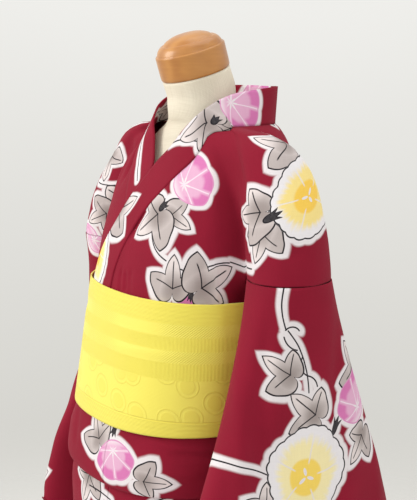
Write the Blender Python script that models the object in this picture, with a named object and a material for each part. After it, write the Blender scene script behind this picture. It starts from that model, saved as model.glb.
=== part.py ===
"""A cotton yukata with its half-width belt, worn by a limbless dress form on a pole stand.

Metres, +Z up.  The wearer faces -Y, so the wearer's left is +X.  The origin is on the floor,
at the middle of the stand's base plate.
"""
import math

import bmesh
import bpy
import numpy as np

# ---------------------------------------------------------------- cloth
CLOTH = 0.0012            # wall of a single layer of cotton
COLLAR_CLOTH = 0.0024     # the collar band is folded double
BELT_CLOTH = 0.0024       # two turns of the belt lie as one wall
SEAM_GAP = 0.0004         # pieces stop this far apart at a seam
OVERLAP_LIFT = 0.0034     # the left front lies this far outside the right front
SKIRT_LIFT = 0.0030       # the same for the skirt
BELT_LIFT = 0.0066        # inside of the belt, outside the body surface
BELT_END_LIFT = 0.0034    # the belt's outer end lies on its first turn
ROUNDNESS = 2.4           # exponent of the body's rounded sections

# ---------------------------------------------------------------- heights
NECK_Z = 1.336            # top of the body cloth, where the collar is sewn on
ARM_Z = 1.155             # the dropped armhole seam
ARM_LOW_Z = 1.147         # first row of body cloth under the armhole
BELT_TOP_Z = 1.118
BELT_LOW_Z = 0.944
BODICE_LOW_Z = 1.045      # the bodice ends here, hidden by the belt
FOLD_TOP_Z = 1.038        # the waist fold starts here, hidden by the belt
SKIRT_TOP_Z = 0.995       # so does the skirt
HEM_Z = 0.090

# ---------------------------------------------------------------- the worn body surface
# A row for each level.  half: half-width.  front, back: depth each way from the axis.
# out, mid_y, drop_a, drop_b: centre and half-sizes of the cloth that falls past the shoulder.
# recess: how deep the fold beside the arm cuts in.  falls: 0 where there is no such drop yet.
BODY_COLUMNS = ("height", "half", "front", "back", "out", "mid_y", "drop_a", "drop_b", "recess", "falls")
BODY_ROWS = (
    (0.090, 0.150, 0.132, 0.126, 0.212, 0.000, 0.048, 0.052, 0.000, 1.0),
    (0.300, 0.156, 0.142, 0.132, 0.212, 0.000, 0.048, 0.052, 0.000, 1.0),
    (0.550, 0.166, 0.160, 0.140, 0.212, 0.000, 0.048, 0.052, 0.000, 1.0),
    (0.760, 0.171, 0.173, 0.143, 0.212, 0.000, 0.048, 0.052, 0.000, 1.0),
    (0.860, 0.166, 0.176, 0.140, 0.212, 0.000, 0.048, 0.052, 0.000, 1.0),
    (0.940, 0.158, 0.165, 0.131, 0.212, 0.000, 0.048, 0.052, 0.000, 1.0),
    (1.020, 0.154, 0.151, 0.127, 0.212, 0.000, 0.048, 0.052, 0.000, 1.0),
    (1.118, 0.154, 0.132, 0.126, 0.212, 0.000, 0.048, 0.052, 0.026, 1.0),
    (1.155, 0.155, 0.124, 0.127, 0.212, 0.000, 0.048, 0.052, 0.028, 1.0),
    (1.195, 0.153, 0.112, 0.127, 0.203, 0.003, 0.048, 0.052, 0.027, 1.0),
    (1.238, 0.148, 0.094, 0.126, 0.189, 0.006, 0.048, 0.049, 0.020, 1.0),
    (1.280, 0.136, 0.070, 0.122, 0.170, 0.010, 0.046, 0.043, 0.009, 1.0),
    (1.312, 0.117, 0.051, 0.117, 0.150, 0.006, 0.043, 0.032, 0.002, 1.0),
    (1.329, 0.098, 0.040, 0.112, 0.125, 0.002, 0.040, 0.018, 0.000, 0.9),
    (1.336, 0.083, 0.036, 0.108, 0.100, 0.000, 0.010, 0.010, 0.000, 0.0),
)

# Stations round the left half, from right of the front middle to past the back middle.
FRONT_ANGLES = (-145.0, -130.0, -115.0, -100.0, -85.0, -70.0, -56.0, -44.0, -33.5, -24.0)
DROP_ANGLES = (-120.0, -85.0, -45.0, 0.0, 45.0, 85.0, 120.0)
BACK_ANGLES = (18.5, 32.0, 47.0, 62.0, 76.0, 90.0, 104.0)
UNDERARM_ANGLE = 7.0      # the body under the arm takes this much each way from the side
BACK_RECESS = 0.6         # the fold behind the arm, as a share of the one before it
RECESS_IN = 0.15          # the recess also moves in towards the axis by this share
RECESS_NEAR = 0.62        # how near it lies to the edge of the chest, or of the back

CHEST_EDGE = len(FRONT_ANGLES) - 1                     # station of the fold before the arm
DROP_FIRST = CHEST_EDGE + 2
BACK_EDGE = DROP_FIRST + len(DROP_ANGLES) + 1          # station of the fold behind the arm
SIDE_SLIT = 0.35          # the open side under the armhole, in stations each way
RIGHT_FORWARD = 0.013     # the right shoulder's drop hangs this much nearer the front
RIGHT_FORWARD_TOP = 1.325 # from nothing here
RIGHT_FORWARD_LOW = 1.200 # to all of it here

# How the side of the body runs: out over the arm's drop, in under it, or plainly round.
OVER_ARM = "over the arm"
UNDER_ARM = "under the arm"
PLAIN = "plain"

# ---------------------------------------------------------------- collar line
# A row for each place along the left half of the collar, from the back middle to the belt.
# angle, height: the seam.  edge_angle, edge_radius, edge_height: the band's free edge.
# lies: 0 where the band stands free, 1 where it lies on the chest.
COLLAR_COLUMNS = ("angle", "height", "edge_angle", "edge_radius", "edge_height", "lies")
COLLAR_ROWS = (
    (90.0, 1.336, 90.0, 0.1200, 1.3860, 0.0),
    (62.0, 1.336, 65.0, 0.1100, 1.3870, 0.0),
    (32.0, 1.336, 38.0, 0.0860, 1.3840, 0.0),
    (0.0, 1.336, 5.0, 0.0665, 1.3760, 0.0),
    (-18.5, 1.331, -20.0, 0.0660, 1.3620, 0.0),
    (-36.0, 1.294, -44.0, 0.0640, 1.3380, 0.1),
    (-54.0, 1.263, -66.0, 0.0650, 1.3090, 0.7),
    (-72.0, 1.228, -86.0, 0.0700, 1.2840, 1.0),
    (-83.0, 1.192, -99.0, 0.0900, 1.2460, 1.0),
    (-89.0, 1.163, -108.0, 0.1200, 1.2020, 1.0),
    (-92.0, 1.135, -116.0, 0.1400, 1.1660, 1.0),
    (-93.0, 1.100, -121.0, 0.1400, 1.1250, 1.0),
    (-94.0, 1.050, -124.0, 0.1400, 1.0600, 1.0),
)
COLLAR_CELLS = (1, 2, 2, 3, 5, 3, 2, 2, 2, 1, 1, 1)  # cells from each row to the next
COLLAR_ACROSS = 2         # cells across the band
COLLAR_STAND_GAP = 0.0042 # a standing band starts above the body cloth's own thickness
SEAM_SAMPLES = 240        # places at which the collar seam is read for the body cloth
LIFT_START = -30.0        # the left front starts to ride over the right one
LIFT_FULL = -54.0         # and is fully outside it here

# ---------------------------------------------------------------- sleeves
# A row for each level.  drop: below the armhole seam.  out: distance of its middle from the
# axis.  thick, deep: half-sizes across and front to back.  left_y, right_y: where its middle
# hangs, front to back.  corner: how far the rounded corners rise.
SLEEVE_COLUMNS = ("drop", "out", "thick", "deep", "left_y", "right_y", "corner")
SLEEVE_ROWS = (
    (0.000, 0.212, 0.0480, 0.0520, 0.000, -0.013, 0.000),
    (0.055, 0.217, 0.0470, 0.0660, 0.000, 0.008, 0.000),
    (0.135, 0.224, 0.0455, 0.0910, -0.002, 0.030, 0.000),
    (0.205, 0.230, 0.0445, 0.1150, -0.005, 0.044, 0.000),
    (0.270, 0.235, 0.0440, 0.1400, -0.007, 0.044, 0.000),
    (0.345, 0.238, 0.0430, 0.1600, -0.008, 0.036, 0.000),
    (0.425, 0.239, 0.0415, 0.1690, -0.008, 0.027, 0.006),
    (0.482, 0.239, 0.0390, 0.1680, -0.008, 0.022, 0.055),
)
SLEEVE_ROUNDNESS = 2.15
SLEEVE_CORNER_POWER = 5   # keeps the rise to the two rounded corners
SLEEVE_LEVELS = 9
SLEEVE_SIDES = 24
SLEEVE_SPREAD = 0.9       # levels lie a little closer together towards the hem

# ---------------------------------------------------------------- waist fold below the belt
# A row along the cloth: down its outside, round the fold, and up its inside.
# lift: outside the body surface.  away: which way that layer's own thickness goes.
FOLD_COLUMNS = ("height", "lift", "away_out", "away_up")
FOLD_ROWS = (
    (FOLD_TOP_Z, 0.0008, 1.0, 0.0),
    (0.9500, 0.0022, 1.0, 0.0),
    (0.9300, 0.0052, 1.0, 0.0),
    (0.9050, 0.0088, 1.0, 0.0),
    (0.8800, 0.0088, 1.0, 0.0),
    (0.8700, 0.0080, 0.9, -0.4),
    (0.8655, 0.0058, 0.0, -1.0),
    (0.8700, 0.0036, -0.9, -0.4),
    (0.8820, 0.0030, -1.0, 0.0),
    (0.9250, 0.0026, -1.0, 0.0),
)

# ---------------------------------------------------------------- skirt
SKIRT_LEVELS = 5
SKIRT_TUCK = 0.0062       # the skirt lies this far inside the body surface under the fold
SKIRT_TUCK_TOP = 0.880    # fully tucked above here
SKIRT_TUCK_LOW = 0.820    # and not at all below here
SIDE_SEAM = -1.0          # side seam, degrees from the wearer's side towards the front
OKUMI_SEAM = -75.0        # front to overlap strip
OKUMI_EDGE = -120.0       # free edge of the overlap strip
FOLD_EDGE = -128.0        # free edge of the waist fold's overlap
SKIRT_RIDE_FROM = -12.0   # the left front starts to ride over the right one
SKIRT_RIDE_TO = -45.0     # and is fully outside it here
SKIRT_STEP = 9.5          # degrees to a cell

# ---------------------------------------------------------------- belt
BELT_START = 78.0         # the inner end, behind the wearer's left
BELT_TURN = 392.0         # the wound strip's sweep
BELT_RISE_FROM = 318.0    # the outer end climbs over the first turn from here
BELT_RISE_TO = 356.0
BELT_STEPS = 54
BELT_LEVELS = 2

# ---------------------------------------------------------------- dress form
# A row for each section.  shift: its centre from the axis.  tilt: degrees, lower in front.
FORM_COLUMNS = ("height", "half", "front", "back", "shift", "tilt")
FORM_ROWS = (
    (0.690, 0.142, 0.138, 0.110, 0.000, 0.0),
    (0.700, 0.150, 0.146, 0.118, 0.000, 0.0),
    (0.760, 0.156, 0.158, 0.127, 0.000, 0.0),
    (0.840, 0.152, 0.160, 0.125, 0.000, 0.0),
    (0.920, 0.144, 0.150, 0.118, 0.000, 0.0),
    (1.010, 0.140, 0.136, 0.115, 0.000, 0.0),
    (1.100, 0.141, 0.120, 0.115, 0.000, 0.0),
    (1.160, 0.142, 0.110, 0.116, 0.000, 0.0),
    (1.205, 0.142, 0.096, 0.115, 0.000, 0.0),
    (1.245, 0.138, 0.078, 0.110, 0.000, 0.0),
    (1.275, 0.130, 0.061, 0.103, 0.000, 0.0),
    (1.298, 0.120, 0.050, 0.095, 0.000, 0.0),
    (1.314, 0.100, 0.044, 0.084, 0.000, 0.0),
    (1.325, 0.080, 0.040, 0.073, 0.000, 0.0),
    (1.336, 0.064, 0.038, 0.060, 0.003, 1.0),
    (1.352, 0.051, 0.044, 0.050, 0.006, 6.0),
    (1.376, 0.0475, 0.0475, 0.0475, 0.006, 12.0),
    (1.405, 0.0470, 0.0470, 0.0470, -0.003, 17.0),
)
FORM_ROUNDNESS = 2.05
FORM_SIDES = 32
CAP_TILT = 17.0
CAP_FOOT = (0.0, -0.0031, 1.4054)
CAP_PROFILE = (           # radius and rise of the turned wood cap, from its foot
    (0.0462, 0.0000),
    (0.0478, 0.0016),
    (0.0485, 0.0060),
    (0.0485, 0.0325),
    (0.0474, 0.0342),
    (0.0466, 0.0344),
    (0.0456, 0.0362),
    (0.0425, 0.0420),
    (0.0368, 0.0460),
    (0.0354, 0.0456),
    (0.0342, 0.0468),
    (0.0230, 0.0532),
    (0.0110, 0.0556),
)
CAP_SIDES = 36
POLE_RADIUS = 0.016
PLATE_RADIUS = 0.185
PLATE_THICK = 0.018
PLATE_EDGE = 0.004
FORM_GAP = 0.0003

WINE = (0.30, 0.022, 0.055, 1.0)
YELLOW = (0.93, 0.80, 0.08, 1.0)
LINEN = (0.78, 0.70, 0.54, 1.0)
WOOD = (0.48, 0.22, 0.06, 1.0)
STEEL = (0.62, 0.62, 0.63, 1.0)
ENAMEL = (0.80, 0.79, 0.76, 1.0)

BODY = np.array(BODY_ROWS)
COLLAR = np.array(COLLAR_ROWS)
SLEEVE = np.array(SLEEVE_ROWS)
FOLD = np.array(FOLD_ROWS)
FORM = np.array(FORM_ROWS)


def clear_scene():
    for thing in list(bpy.data.objects):
        bpy.data.objects.remove(thing, do_unlink=True)


def material(name, colour, roughness, metallic=0.0):
    mat = bpy.data.materials.new(name)
    mat.use_nodes = True
    shader = mat.node_tree.nodes["Principled BSDF"]
    shader.inputs["Base Color"].default_value = colour
    shader.inputs["Roughness"].default_value = roughness
    shader.inputs["Metallic"].default_value = metallic
    return mat


def smooth_step(value, start, end):
    share = min(max((value - start) / (end - start), 0.0), 1.0)
    return share * share * (3.0 - 2.0 * share)


def read_table(table, value):
    """Smooth reading of a table whose first column is the key, in rising or falling order."""
    keys = table[:, 0]
    if keys[0] > keys[-1]:
        table = table[::-1]
        keys = table[:, 0]
    value = min(max(value, keys[0]), keys[-1])
    i = min(int(np.searchsorted(keys, value, side="right")) - 1, len(keys) - 2)
    step = keys[i + 1] - keys[i]
    share = (value - keys[i]) / step
    rise = (table[i + 1] - table[i]) / step
    before = (table[i] - table[i - 1]) / (keys[i] - keys[i - 1]) if i > 0 else rise
    after = (table[i + 2] - table[i + 1]) / (keys[i + 2] - keys[i + 1]) if i + 2 < len(keys) else rise
    start = gentle_slope(before, rise)
    end = gentle_slope(rise, after)
    a = 2 * share ** 3 - 3 * share ** 2 + 1
    b = share ** 3 - 2 * share ** 2 + share
    c = -2 * share ** 3 + 3 * share ** 2
    d = share ** 3 - share ** 2
    return a * table[i] + b * step * start + c * table[i + 1] + d * step * end


def gentle_slope(one, other):
    """Harmonic mean of two slopes, or zero where they differ in sign, so nothing overshoots."""
    both = one * other
    total = one + other
    return np.where(both > 0.0, 2.0 * both / np.where(total == 0.0, 1.0, total), 0.0)


def section_radius(angle, half, depth, power):
    c = abs(math.cos(angle)) / half
    s = abs(math.sin(angle)) / depth
    return (c ** power + s ** power) ** (-1.0 / power)


def body_point(level, degrees):
    angle = math.radians(degrees)
    depth = level["front"] if math.sin(angle) < 0.0 else level["back"]
    radius = section_radius(angle, level["half"], depth, ROUNDNESS)
    return np.array((radius * math.cos(angle), radius * math.sin(angle)))


def drop_point(level, degrees):
    angle = math.radians(degrees)
    return np.array((
        level["out"] + level["drop_a"] * math.cos(angle),
        level["mid_y"] + level["drop_b"] * math.sin(angle),
    ))


def station_points(height, side, forward):
    """Plan points of every station of the left half at one height."""
    level = dict(zip(BODY_COLUMNS, read_table(BODY, height)))
    falls = level["falls"] if side == OVER_ARM else 0.0
    level["mid_y"] -= forward * smooth_step(-height, -RIGHT_FORWARD_TOP, -RIGHT_FORWARD_LOW)
    points = [body_point(level, degrees) for degrees in FRONT_ANGLES]
    drop = []
    for degrees in DROP_ANGLES:
        under = body_point(level, UNDERARM_ANGLE * degrees / DROP_ANGLES[-1])
        drop.append(under + falls * (drop_point(level, degrees) - under))
    back = [body_point(level, degrees) for degrees in BACK_ANGLES]
    cut = 0.0 if side == PLAIN else level["recess"]
    far = 1.0 - RECESS_NEAR
    before = RECESS_NEAR * points[-1] + far * drop[0] + np.array((-cut * RECESS_IN, cut))
    behind = RECESS_NEAR * back[0] + far * drop[-1]
    behind = behind + np.array((-cut * RECESS_IN, -cut)) * BACK_RECESS
    return np.array(points + [before] + drop + [behind] + back)


def curve_point(points, place):
    """Catmull-Rom curve through the points, read at a fractional index."""
    i = min(max(int(math.floor(place)), 0), len(points) - 2)
    share = place - i
    p1 = points[i]
    p2 = points[i + 1]
    p0 = points[i - 1] if i > 0 else 2 * p1 - p2
    p3 = points[i + 2] if i + 2 < len(points) else 2 * p2 - p1
    return 0.5 * (
        2 * p1
        + (p2 - p0) * share
        + (2 * p0 - 5 * p1 + 4 * p2 - p3) * share ** 2
        + (3 * p1 - p0 - 3 * p2 + p3) * share ** 3
    )


def station_of(degrees):
    """Fractional station of an angle on the front or the back of the body."""
    if degrees <= FRONT_ANGLES[-1]:
        return float(np.interp(degrees, FRONT_ANGLES, range(len(FRONT_ANGLES))))
    if degrees >= BACK_ANGLES[0]:
        return BACK_EDGE + float(np.interp(degrees, BACK_ANGLES, range(len(BACK_ANGLES))))
    span = BACK_EDGE - CHEST_EDGE
    return CHEST_EDGE + span * (degrees - FRONT_ANGLES[-1]) / (BACK_ANGLES[0] - FRONT_ANGLES[-1])


def surface(place, height, shape=OVER_ARM, forward=0.0):
    """Point and outward normal of the worn body surface."""
    around = 0.05
    along = 0.003

    def at(p, z):
        plan = curve_point(station_points(z, shape, forward), p)
        return np.array((plan[0], plan[1], z))

    top = BODY[-1, 0]
    low = max(height - along, BODY[0, 0])
    high = min(height + along, top)
    side = at(place + around, height) - at(place - around, height)
    rise = at(place, high) - at(place, low)
    normal = np.cross(side, rise)
    return at(place, height), normal / np.linalg.norm(normal)


def lifted(place, height, lift, shape=OVER_ARM, forward=0.0):
    point, normal = surface(place, height, shape, forward)
    return point + normal * lift, normal


def front_lift(degrees):
    return OVERLAP_LIFT * smooth_step(-degrees, -LIFT_START, -LIFT_FULL)


def no_lift(degrees):
    return 0.0


def mirror(grid):
    return grid * np.array((-1.0, 1.0, 1.0))


def wall(name, inner, outer, mat, keep=None):
    """A closed cloth wall between two grids of points, with some cells left out."""
    rows, columns = inner.shape[:2]
    mesh = bmesh.new()
    layers = []
    for grid in (inner, outer):
        layers.append([[mesh.verts.new(grid[r, c]) for c in range(columns)] for r in range(rows)])
    kept = np.ones((rows - 1, columns - 1), bool) if keep is None else keep
    for r in range(rows - 1):
        for c in range(columns - 1):
            if not kept[r, c]:
                continue
            corners = ((r, c), (r, c + 1), (r + 1, c + 1), (r + 1, c))
            mesh.faces.new([layers[1][i][j] for i, j in corners])
            mesh.faces.new([layers[0][i][j] for i, j in reversed(corners)])
            neighbours = ((r - 1, c), (r, c + 1), (r + 1, c), (r, c - 1))
            for side, (nr, nc) in enumerate(neighbours):
                inside = 0 <= nr < rows - 1 and 0 <= nc < columns - 1
                if inside and kept[nr, nc]:
                    continue
                i, j = corners[side]
                k, m = corners[(side + 1) % 4]
                mesh.faces.new((layers[0][i][j], layers[0][k][m], layers[1][k][m], layers[1][i][j]))
    loose = [v for v in mesh.verts if not v.link_faces]
    bmesh.ops.delete(mesh, geom=loose, context="VERTS")
    return finish(name, mesh, mat)


def finish(name, mesh, mat):
    bmesh.ops.recalc_face_normals(mesh, faces=mesh.faces)
    data = bpy.data.meshes.new(name)
    mesh.to_mesh(data)
    mesh.free()
    data.materials.append(mat)
    data.shade_smooth()
    data.set_sharp_from_angle(angle=math.radians(40.0))
    thing = bpy.data.objects.new(name, data)
    bpy.context.collection.objects.link(thing)
    return thing


# ---------------------------------------------------------------- bodice
BODICE_ANGLES = (-94.0, -91.0, -86.0, -79.0, -71.0, -62.0, -53.0, -44.0, -36.0, -30.0)
BODICE_BACK = (18.5, 26.0, 36.0, 47.0, 58.0, 69.0, 80.0, 89.86)
BODICE_HEIGHTS = (NECK_Z, 1.330, 1.320, 1.304, 1.282, 1.255, 1.222, 1.188, ARM_Z + SEAM_GAP)
BODICE_UNDER = (ARM_LOW_Z, BELT_TOP_Z, 1.080, BODICE_LOW_Z)
DROP_STEPS = (0.0, 0.5, 1.0, 1.5, 2.0, 3.0, 4.0, 4.65, 5.35, 6.0, 7.0, 8.0, 8.5, 9.0, 9.5)


def seam_line():
    """Angle and height of the collar seam at many places, from the belt to the back middle."""
    table = np.column_stack((np.linspace(0.0, 1.0, len(COLLAR)), COLLAR[:, :2]))
    return np.array([read_table(table, along)[1:] for along in np.linspace(1.0, 0.0, SEAM_SAMPLES)])


def bodice_grids(lift_of, forward):
    seam = seam_line()
    side_span = (BACK_ANGLES[0] - FRONT_ANGLES[-1]) / (BACK_EDGE - CHEST_EDGE)
    side_angles = tuple(FRONT_ANGLES[-1] + step * side_span for step in DROP_STEPS)
    angles = BODICE_ANGLES + side_angles + BODICE_BACK
    places = np.array([station_of(degrees) for degrees in angles])
    heights = BODICE_HEIGHTS + BODICE_UNDER
    inner = np.zeros((len(heights), len(places), 3))
    outer = np.zeros_like(inner)
    for c, place in enumerate(places):
        # Beside the arm only the cloth above the armhole follows the collar seam down.
        foot = BODICE_HEIGHTS[-1] if place >= CHEST_EDGE else BODICE_LOW_Z
        top = float(np.interp(angles[c], seam[:, 0], seam[:, 1]))
        squeeze = (top - foot) / (NECK_Z - foot)
        for r, height in enumerate(heights):
            z = foot + (height - foot) * squeeze if height > foot else height
            shape = OVER_ARM if r < len(BODICE_HEIGHTS) else UNDER_ARM
            point, normal = lifted(place, z, lift_of(angles[c]), shape, forward)
            inner[r, c] = point
            outer[r, c] = point + normal * CLOTH
    return inner, outer, places


def bodice_cells(places):
    """Leaves out the armhole's seam and the open side under it."""
    rows = len(BODICE_HEIGHTS) + len(BODICE_UNDER) - 1
    keep = np.ones((rows, len(places) - 1), bool)
    seam_row = len(BODICE_HEIGHTS) - 1
    middle = 0.5 * (CHEST_EDGE + BACK_EDGE)
    for c in range(len(places) - 1):
        centre = 0.5 * (places[c] + places[c + 1])
        if CHEST_EDGE < centre < BACK_EDGE:
            keep[seam_row, c] = False
        if abs(centre - middle) < SIDE_SLIT:
            keep[seam_row:, c] = False
    return keep


def make_bodice(cotton):
    inner, outer, places = bodice_grids(front_lift, 0.0)
    wall("bodice_left", inner, outer, cotton, bodice_cells(places))
    inner, outer, places = bodice_grids(no_lift, RIGHT_FORWARD)
    wall("bodice_right", mirror(inner), mirror(outer), cotton, bodice_cells(places))


# ---------------------------------------------------------------- collar
def polar(degrees, radius, height):
    angle = math.radians(degrees)
    return np.array((radius * math.cos(angle), radius * math.sin(angle), height))


def collar_line(along, across, left):
    """A point of the band's middle surface, on the left half or on the unmirrored right one."""
    keys = np.linspace(0.0, 1.0, len(COLLAR))
    row = dict(zip(COLLAR_COLUMNS, read_table(np.column_stack((keys, COLLAR)), along)[1:]))
    lift = front_lift(row["angle"]) if left else 0.0
    seam, _ = lifted(station_of(row["angle"]), row["height"], lift)
    chest_top = BODY[-1, 0]
    edge = polar(row["edge_angle"], row["edge_radius"], row["edge_height"])
    straight = seam + (edge - seam) * across
    if row["lies"] <= 0.0:
        return straight
    degrees = row["angle"] + (row["edge_angle"] - row["angle"]) * across
    height = row["height"] + (row["edge_height"] - row["height"]) * across
    on_chest, _ = lifted(station_of(degrees), min(height, chest_top), lift)
    on_chest[2] = height
    return straight + (on_chest - straight) * row["lies"]


def collar_half(left):
    """Inner and outer grids of one half, a row across the band for each step along it."""
    small = 0.002
    steps = sum(COLLAR_CELLS)
    borders = np.concatenate(([0], np.cumsum(COLLAR_CELLS)))
    places = np.interp(range(steps + 1), borders, np.linspace(0.0, 1.0, len(COLLAR)))
    inner = np.zeros((steps + 1, COLLAR_ACROSS + 1, 3))
    outer = np.zeros_like(inner)
    for i, place in enumerate(places):
        along = min(max(place, small), 1.0 - small)
        width = np.linalg.norm(collar_line(along, 1.0, left) - collar_line(along, 0.0, left))
        start = COLLAR_STAND_GAP / width
        for j in range(COLLAR_ACROSS + 1):
            across = start + (1.0 - start) * j / COLLAR_ACROSS
            run = collar_line(along + small, across, left) - collar_line(along - small, across, left)
            rise = collar_line(along, min(across + small, 1.0), left)
            rise = rise - collar_line(along, across - small, left)
            normal = np.cross(rise, run)
            normal = normal / np.linalg.norm(normal)
            point = collar_line(along, across, left)
            if i == 0:
                point[0] = 0.0
                normal = np.array((0.0, normal[1], normal[2])) / np.hypot(normal[1], normal[2])
            inner[i, j] = point
            outer[i, j] = point + normal * COLLAR_CLOTH
    return inner, outer


def make_collar(cotton):
    left_in, left_out = collar_half(True)
    right_in, right_out = collar_half(False)
    inner = np.concatenate((left_in[::-1], mirror(right_in)[1:]))
    outer = np.concatenate((left_out[::-1], mirror(right_out)[1:]))
    wall("collar", inner, outer, cotton)


# ---------------------------------------------------------------- sleeves
def sleeve_point(row, angle, mid_y, grow):
    """A point of the sleeve's section, as a rounded oval with its cloth's thickness added."""
    c = math.cos(angle)
    s = math.sin(angle)
    thick = row["thick"] + grow
    deep = row["deep"] + grow
    share = 2.0 / SLEEVE_ROUNDNESS
    x = row["out"] + thick * math.copysign(abs(c) ** share, c)
    y = mid_y + deep * math.copysign(abs(s) ** share, s)
    rise = row["corner"] * abs(s) ** SLEEVE_CORNER_POWER
    return np.array((x, y, ARM_Z - row["drop"] + rise))


def make_sleeve(name, cotton, middle, side):
    drops = np.linspace(0.0, 1.0, SLEEVE_LEVELS) ** SLEEVE_SPREAD * SLEEVE[-1, 0]
    grids = []
    for grow in (0.0, CLOTH):
        grid = np.zeros((SLEEVE_LEVELS, SLEEVE_SIDES + 1, 3))
        for r, drop in enumerate(drops):
            row = dict(zip(SLEEVE_COLUMNS, read_table(SLEEVE, drop)))
            for c in range(SLEEVE_SIDES + 1):
                angle = 2.0 * math.pi * c / SLEEVE_SIDES
                grid[r, c] = sleeve_point(row, angle, row[middle], grow)
        grids.append(grid * np.array((side, 1.0, 1.0)))
    tube(name, grids[0], grids[1], cotton)


def tube(name, inner, outer, mat):
    """A closed wall round a loop: the grids' last column repeats the first."""
    rows, columns = inner.shape[:2]
    count = columns - 1
    mesh = bmesh.new()
    layers = []
    for grid in (inner, outer):
        layers.append([[mesh.verts.new(grid[r, c]) for c in range(count)] for r in range(rows)])
    for r in range(rows - 1):
        for c in range(count):
            corners = ((r, c), (r, (c + 1) % count), (r + 1, (c + 1) % count), (r + 1, c))
            mesh.faces.new([layers[1][i][j] for i, j in corners])
            mesh.faces.new([layers[0][i][j] for i, j in reversed(corners)])
    for r in (0, rows - 1):
        for c in range(count):
            d = (c + 1) % count
            mesh.faces.new((layers[0][r][c], layers[0][r][d], layers[1][r][d], layers[1][r][c]))
    return finish(name, mesh, mat)


# ---------------------------------------------------------------- panels below the belt
def panel_angles(start, end):
    """Cell borders from one seam to the next, stopping short of both by the seam gap."""
    count = max(int(round(abs(end - start) / SKIRT_STEP)), 2)
    gap = math.degrees(SEAM_GAP / BODY[:, 1].max()) * math.copysign(1.0, end - start)
    return np.linspace(start + gap, end - gap, count + 1)


def around(degrees, height, lift):
    """A point of the body surface at any angle, on either side, with its normal."""
    turned = (degrees + 180.0) % 360.0 - 180.0
    far = abs(turned) > 90.0 and not (-145.0 < turned < -90.0)
    if far:
        turned = (180.0 - turned + 180.0) % 360.0 - 180.0
    place = station_of(turned)
    point, normal = lifted(place, height, lift, PLAIN)
    if far:
        point = mirror(point)
        normal = mirror(normal)
    return point, normal


def skirt_lift(degrees, height, over):
    tuck = SKIRT_TUCK * smooth_step(height, SKIRT_TUCK_LOW, SKIRT_TUCK_TOP)
    ride = SKIRT_LIFT * smooth_step(-degrees, -SKIRT_RIDE_FROM, -SKIRT_RIDE_TO) if over else 0.0
    return ride - tuck


def skirt_panel(name, start, end, cotton, over=False):
    heights = HEM_Z + (SKIRT_TOP_Z - HEM_Z) * np.linspace(1.0, 0.0, SKIRT_LEVELS + 1)
    heights = np.unique(np.append(heights, (SKIRT_TUCK_TOP, SKIRT_TUCK_LOW)))[::-1]
    angles = panel_angles(start, end)
    inner = np.zeros((len(heights), len(angles), 3))
    outer = np.zeros_like(inner)
    for r, height in enumerate(heights):
        for c, degrees in enumerate(angles):
            point, normal = around(degrees, height, skirt_lift(degrees, height, over))
            inner[r, c] = point
            outer[r, c] = point + normal * CLOTH
    wall(name, inner, outer, cotton)


def fold_panel(name, start, end, cotton):
    angles = panel_angles(start, end)
    inner = np.zeros((len(FOLD), len(angles), 3))
    outer = np.zeros_like(inner)
    for r, values in enumerate(FOLD):
        row = dict(zip(FOLD_COLUMNS, values))
        for c, degrees in enumerate(angles):
            point, normal = around(degrees, row["height"], row["lift"])
            away = normal * row["away_out"] + np.array((0.0, 0.0, row["away_up"]))
            inner[r, c] = point
            outer[r, c] = point + away / np.linalg.norm(away) * CLOTH
    wall(name, inner, outer, cotton)


def make_lower_body(cotton):
    fold_panel("fold_front_left", SIDE_SEAM, OKUMI_SEAM, cotton)
    fold_panel("fold_okumi_left", OKUMI_SEAM, FOLD_EDGE, cotton)
    fold_panel("fold_front_right", FOLD_EDGE, -180.0 - SIDE_SEAM, cotton)
    fold_panel("fold_back_left", SIDE_SEAM, 90.0, cotton)
    fold_panel("fold_back_right", 90.0, 180.0 - SIDE_SEAM, cotton)
    skirt_panel("skirt_back_left", SIDE_SEAM, 90.0, cotton)
    skirt_panel("skirt_back_right", 90.0, 180.0 - SIDE_SEAM, cotton)
    skirt_panel("skirt_front_left", SIDE_SEAM, OKUMI_SEAM, cotton, over=True)
    skirt_panel("skirt_okumi_left", OKUMI_SEAM, OKUMI_EDGE, cotton, over=True)
    skirt_panel("skirt_front_right", -180.0 - SIDE_SEAM, -180.0 - OKUMI_SEAM, cotton)
    skirt_panel("skirt_okumi_right", -180.0 - OKUMI_SEAM, -180.0 - OKUMI_EDGE, cotton)


# ---------------------------------------------------------------- belt
def make_belt(silk):
    heights = np.linspace(BELT_TOP_Z, BELT_LOW_Z, BELT_LEVELS + 1)
    inner = np.zeros((len(heights), BELT_STEPS + 1, 3))
    outer = np.zeros_like(inner)
    for c in range(BELT_STEPS + 1):
        swept = BELT_TURN * c / BELT_STEPS
        degrees = BELT_START - swept
        lift = BELT_LIFT + BELT_END_LIFT * smooth_step(swept, BELT_RISE_FROM, BELT_RISE_TO)
        for r, height in enumerate(heights):
            point, normal = around(degrees, height, lift)
            inner[r, c] = point
            outer[r, c] = point + normal * BELT_CLOTH
    wall("obi", inner, outer, silk)


# ---------------------------------------------------------------- dress form
def form_ring(row):
    tilt = math.radians(row["tilt"])
    ring = []
    for c in range(FORM_SIDES):
        angle = 2.0 * math.pi * c / FORM_SIDES
        depth = row["front"] if math.sin(angle) < 0.0 else row["back"]
        radius = section_radius(angle, row["half"], depth, FORM_ROUNDNESS)
        y = radius * math.sin(angle)
        ring.append((
            radius * math.cos(angle),
            row["shift"] + y * math.cos(tilt),
            row["height"] + y * math.sin(tilt),
        ))
    return ring


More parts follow.
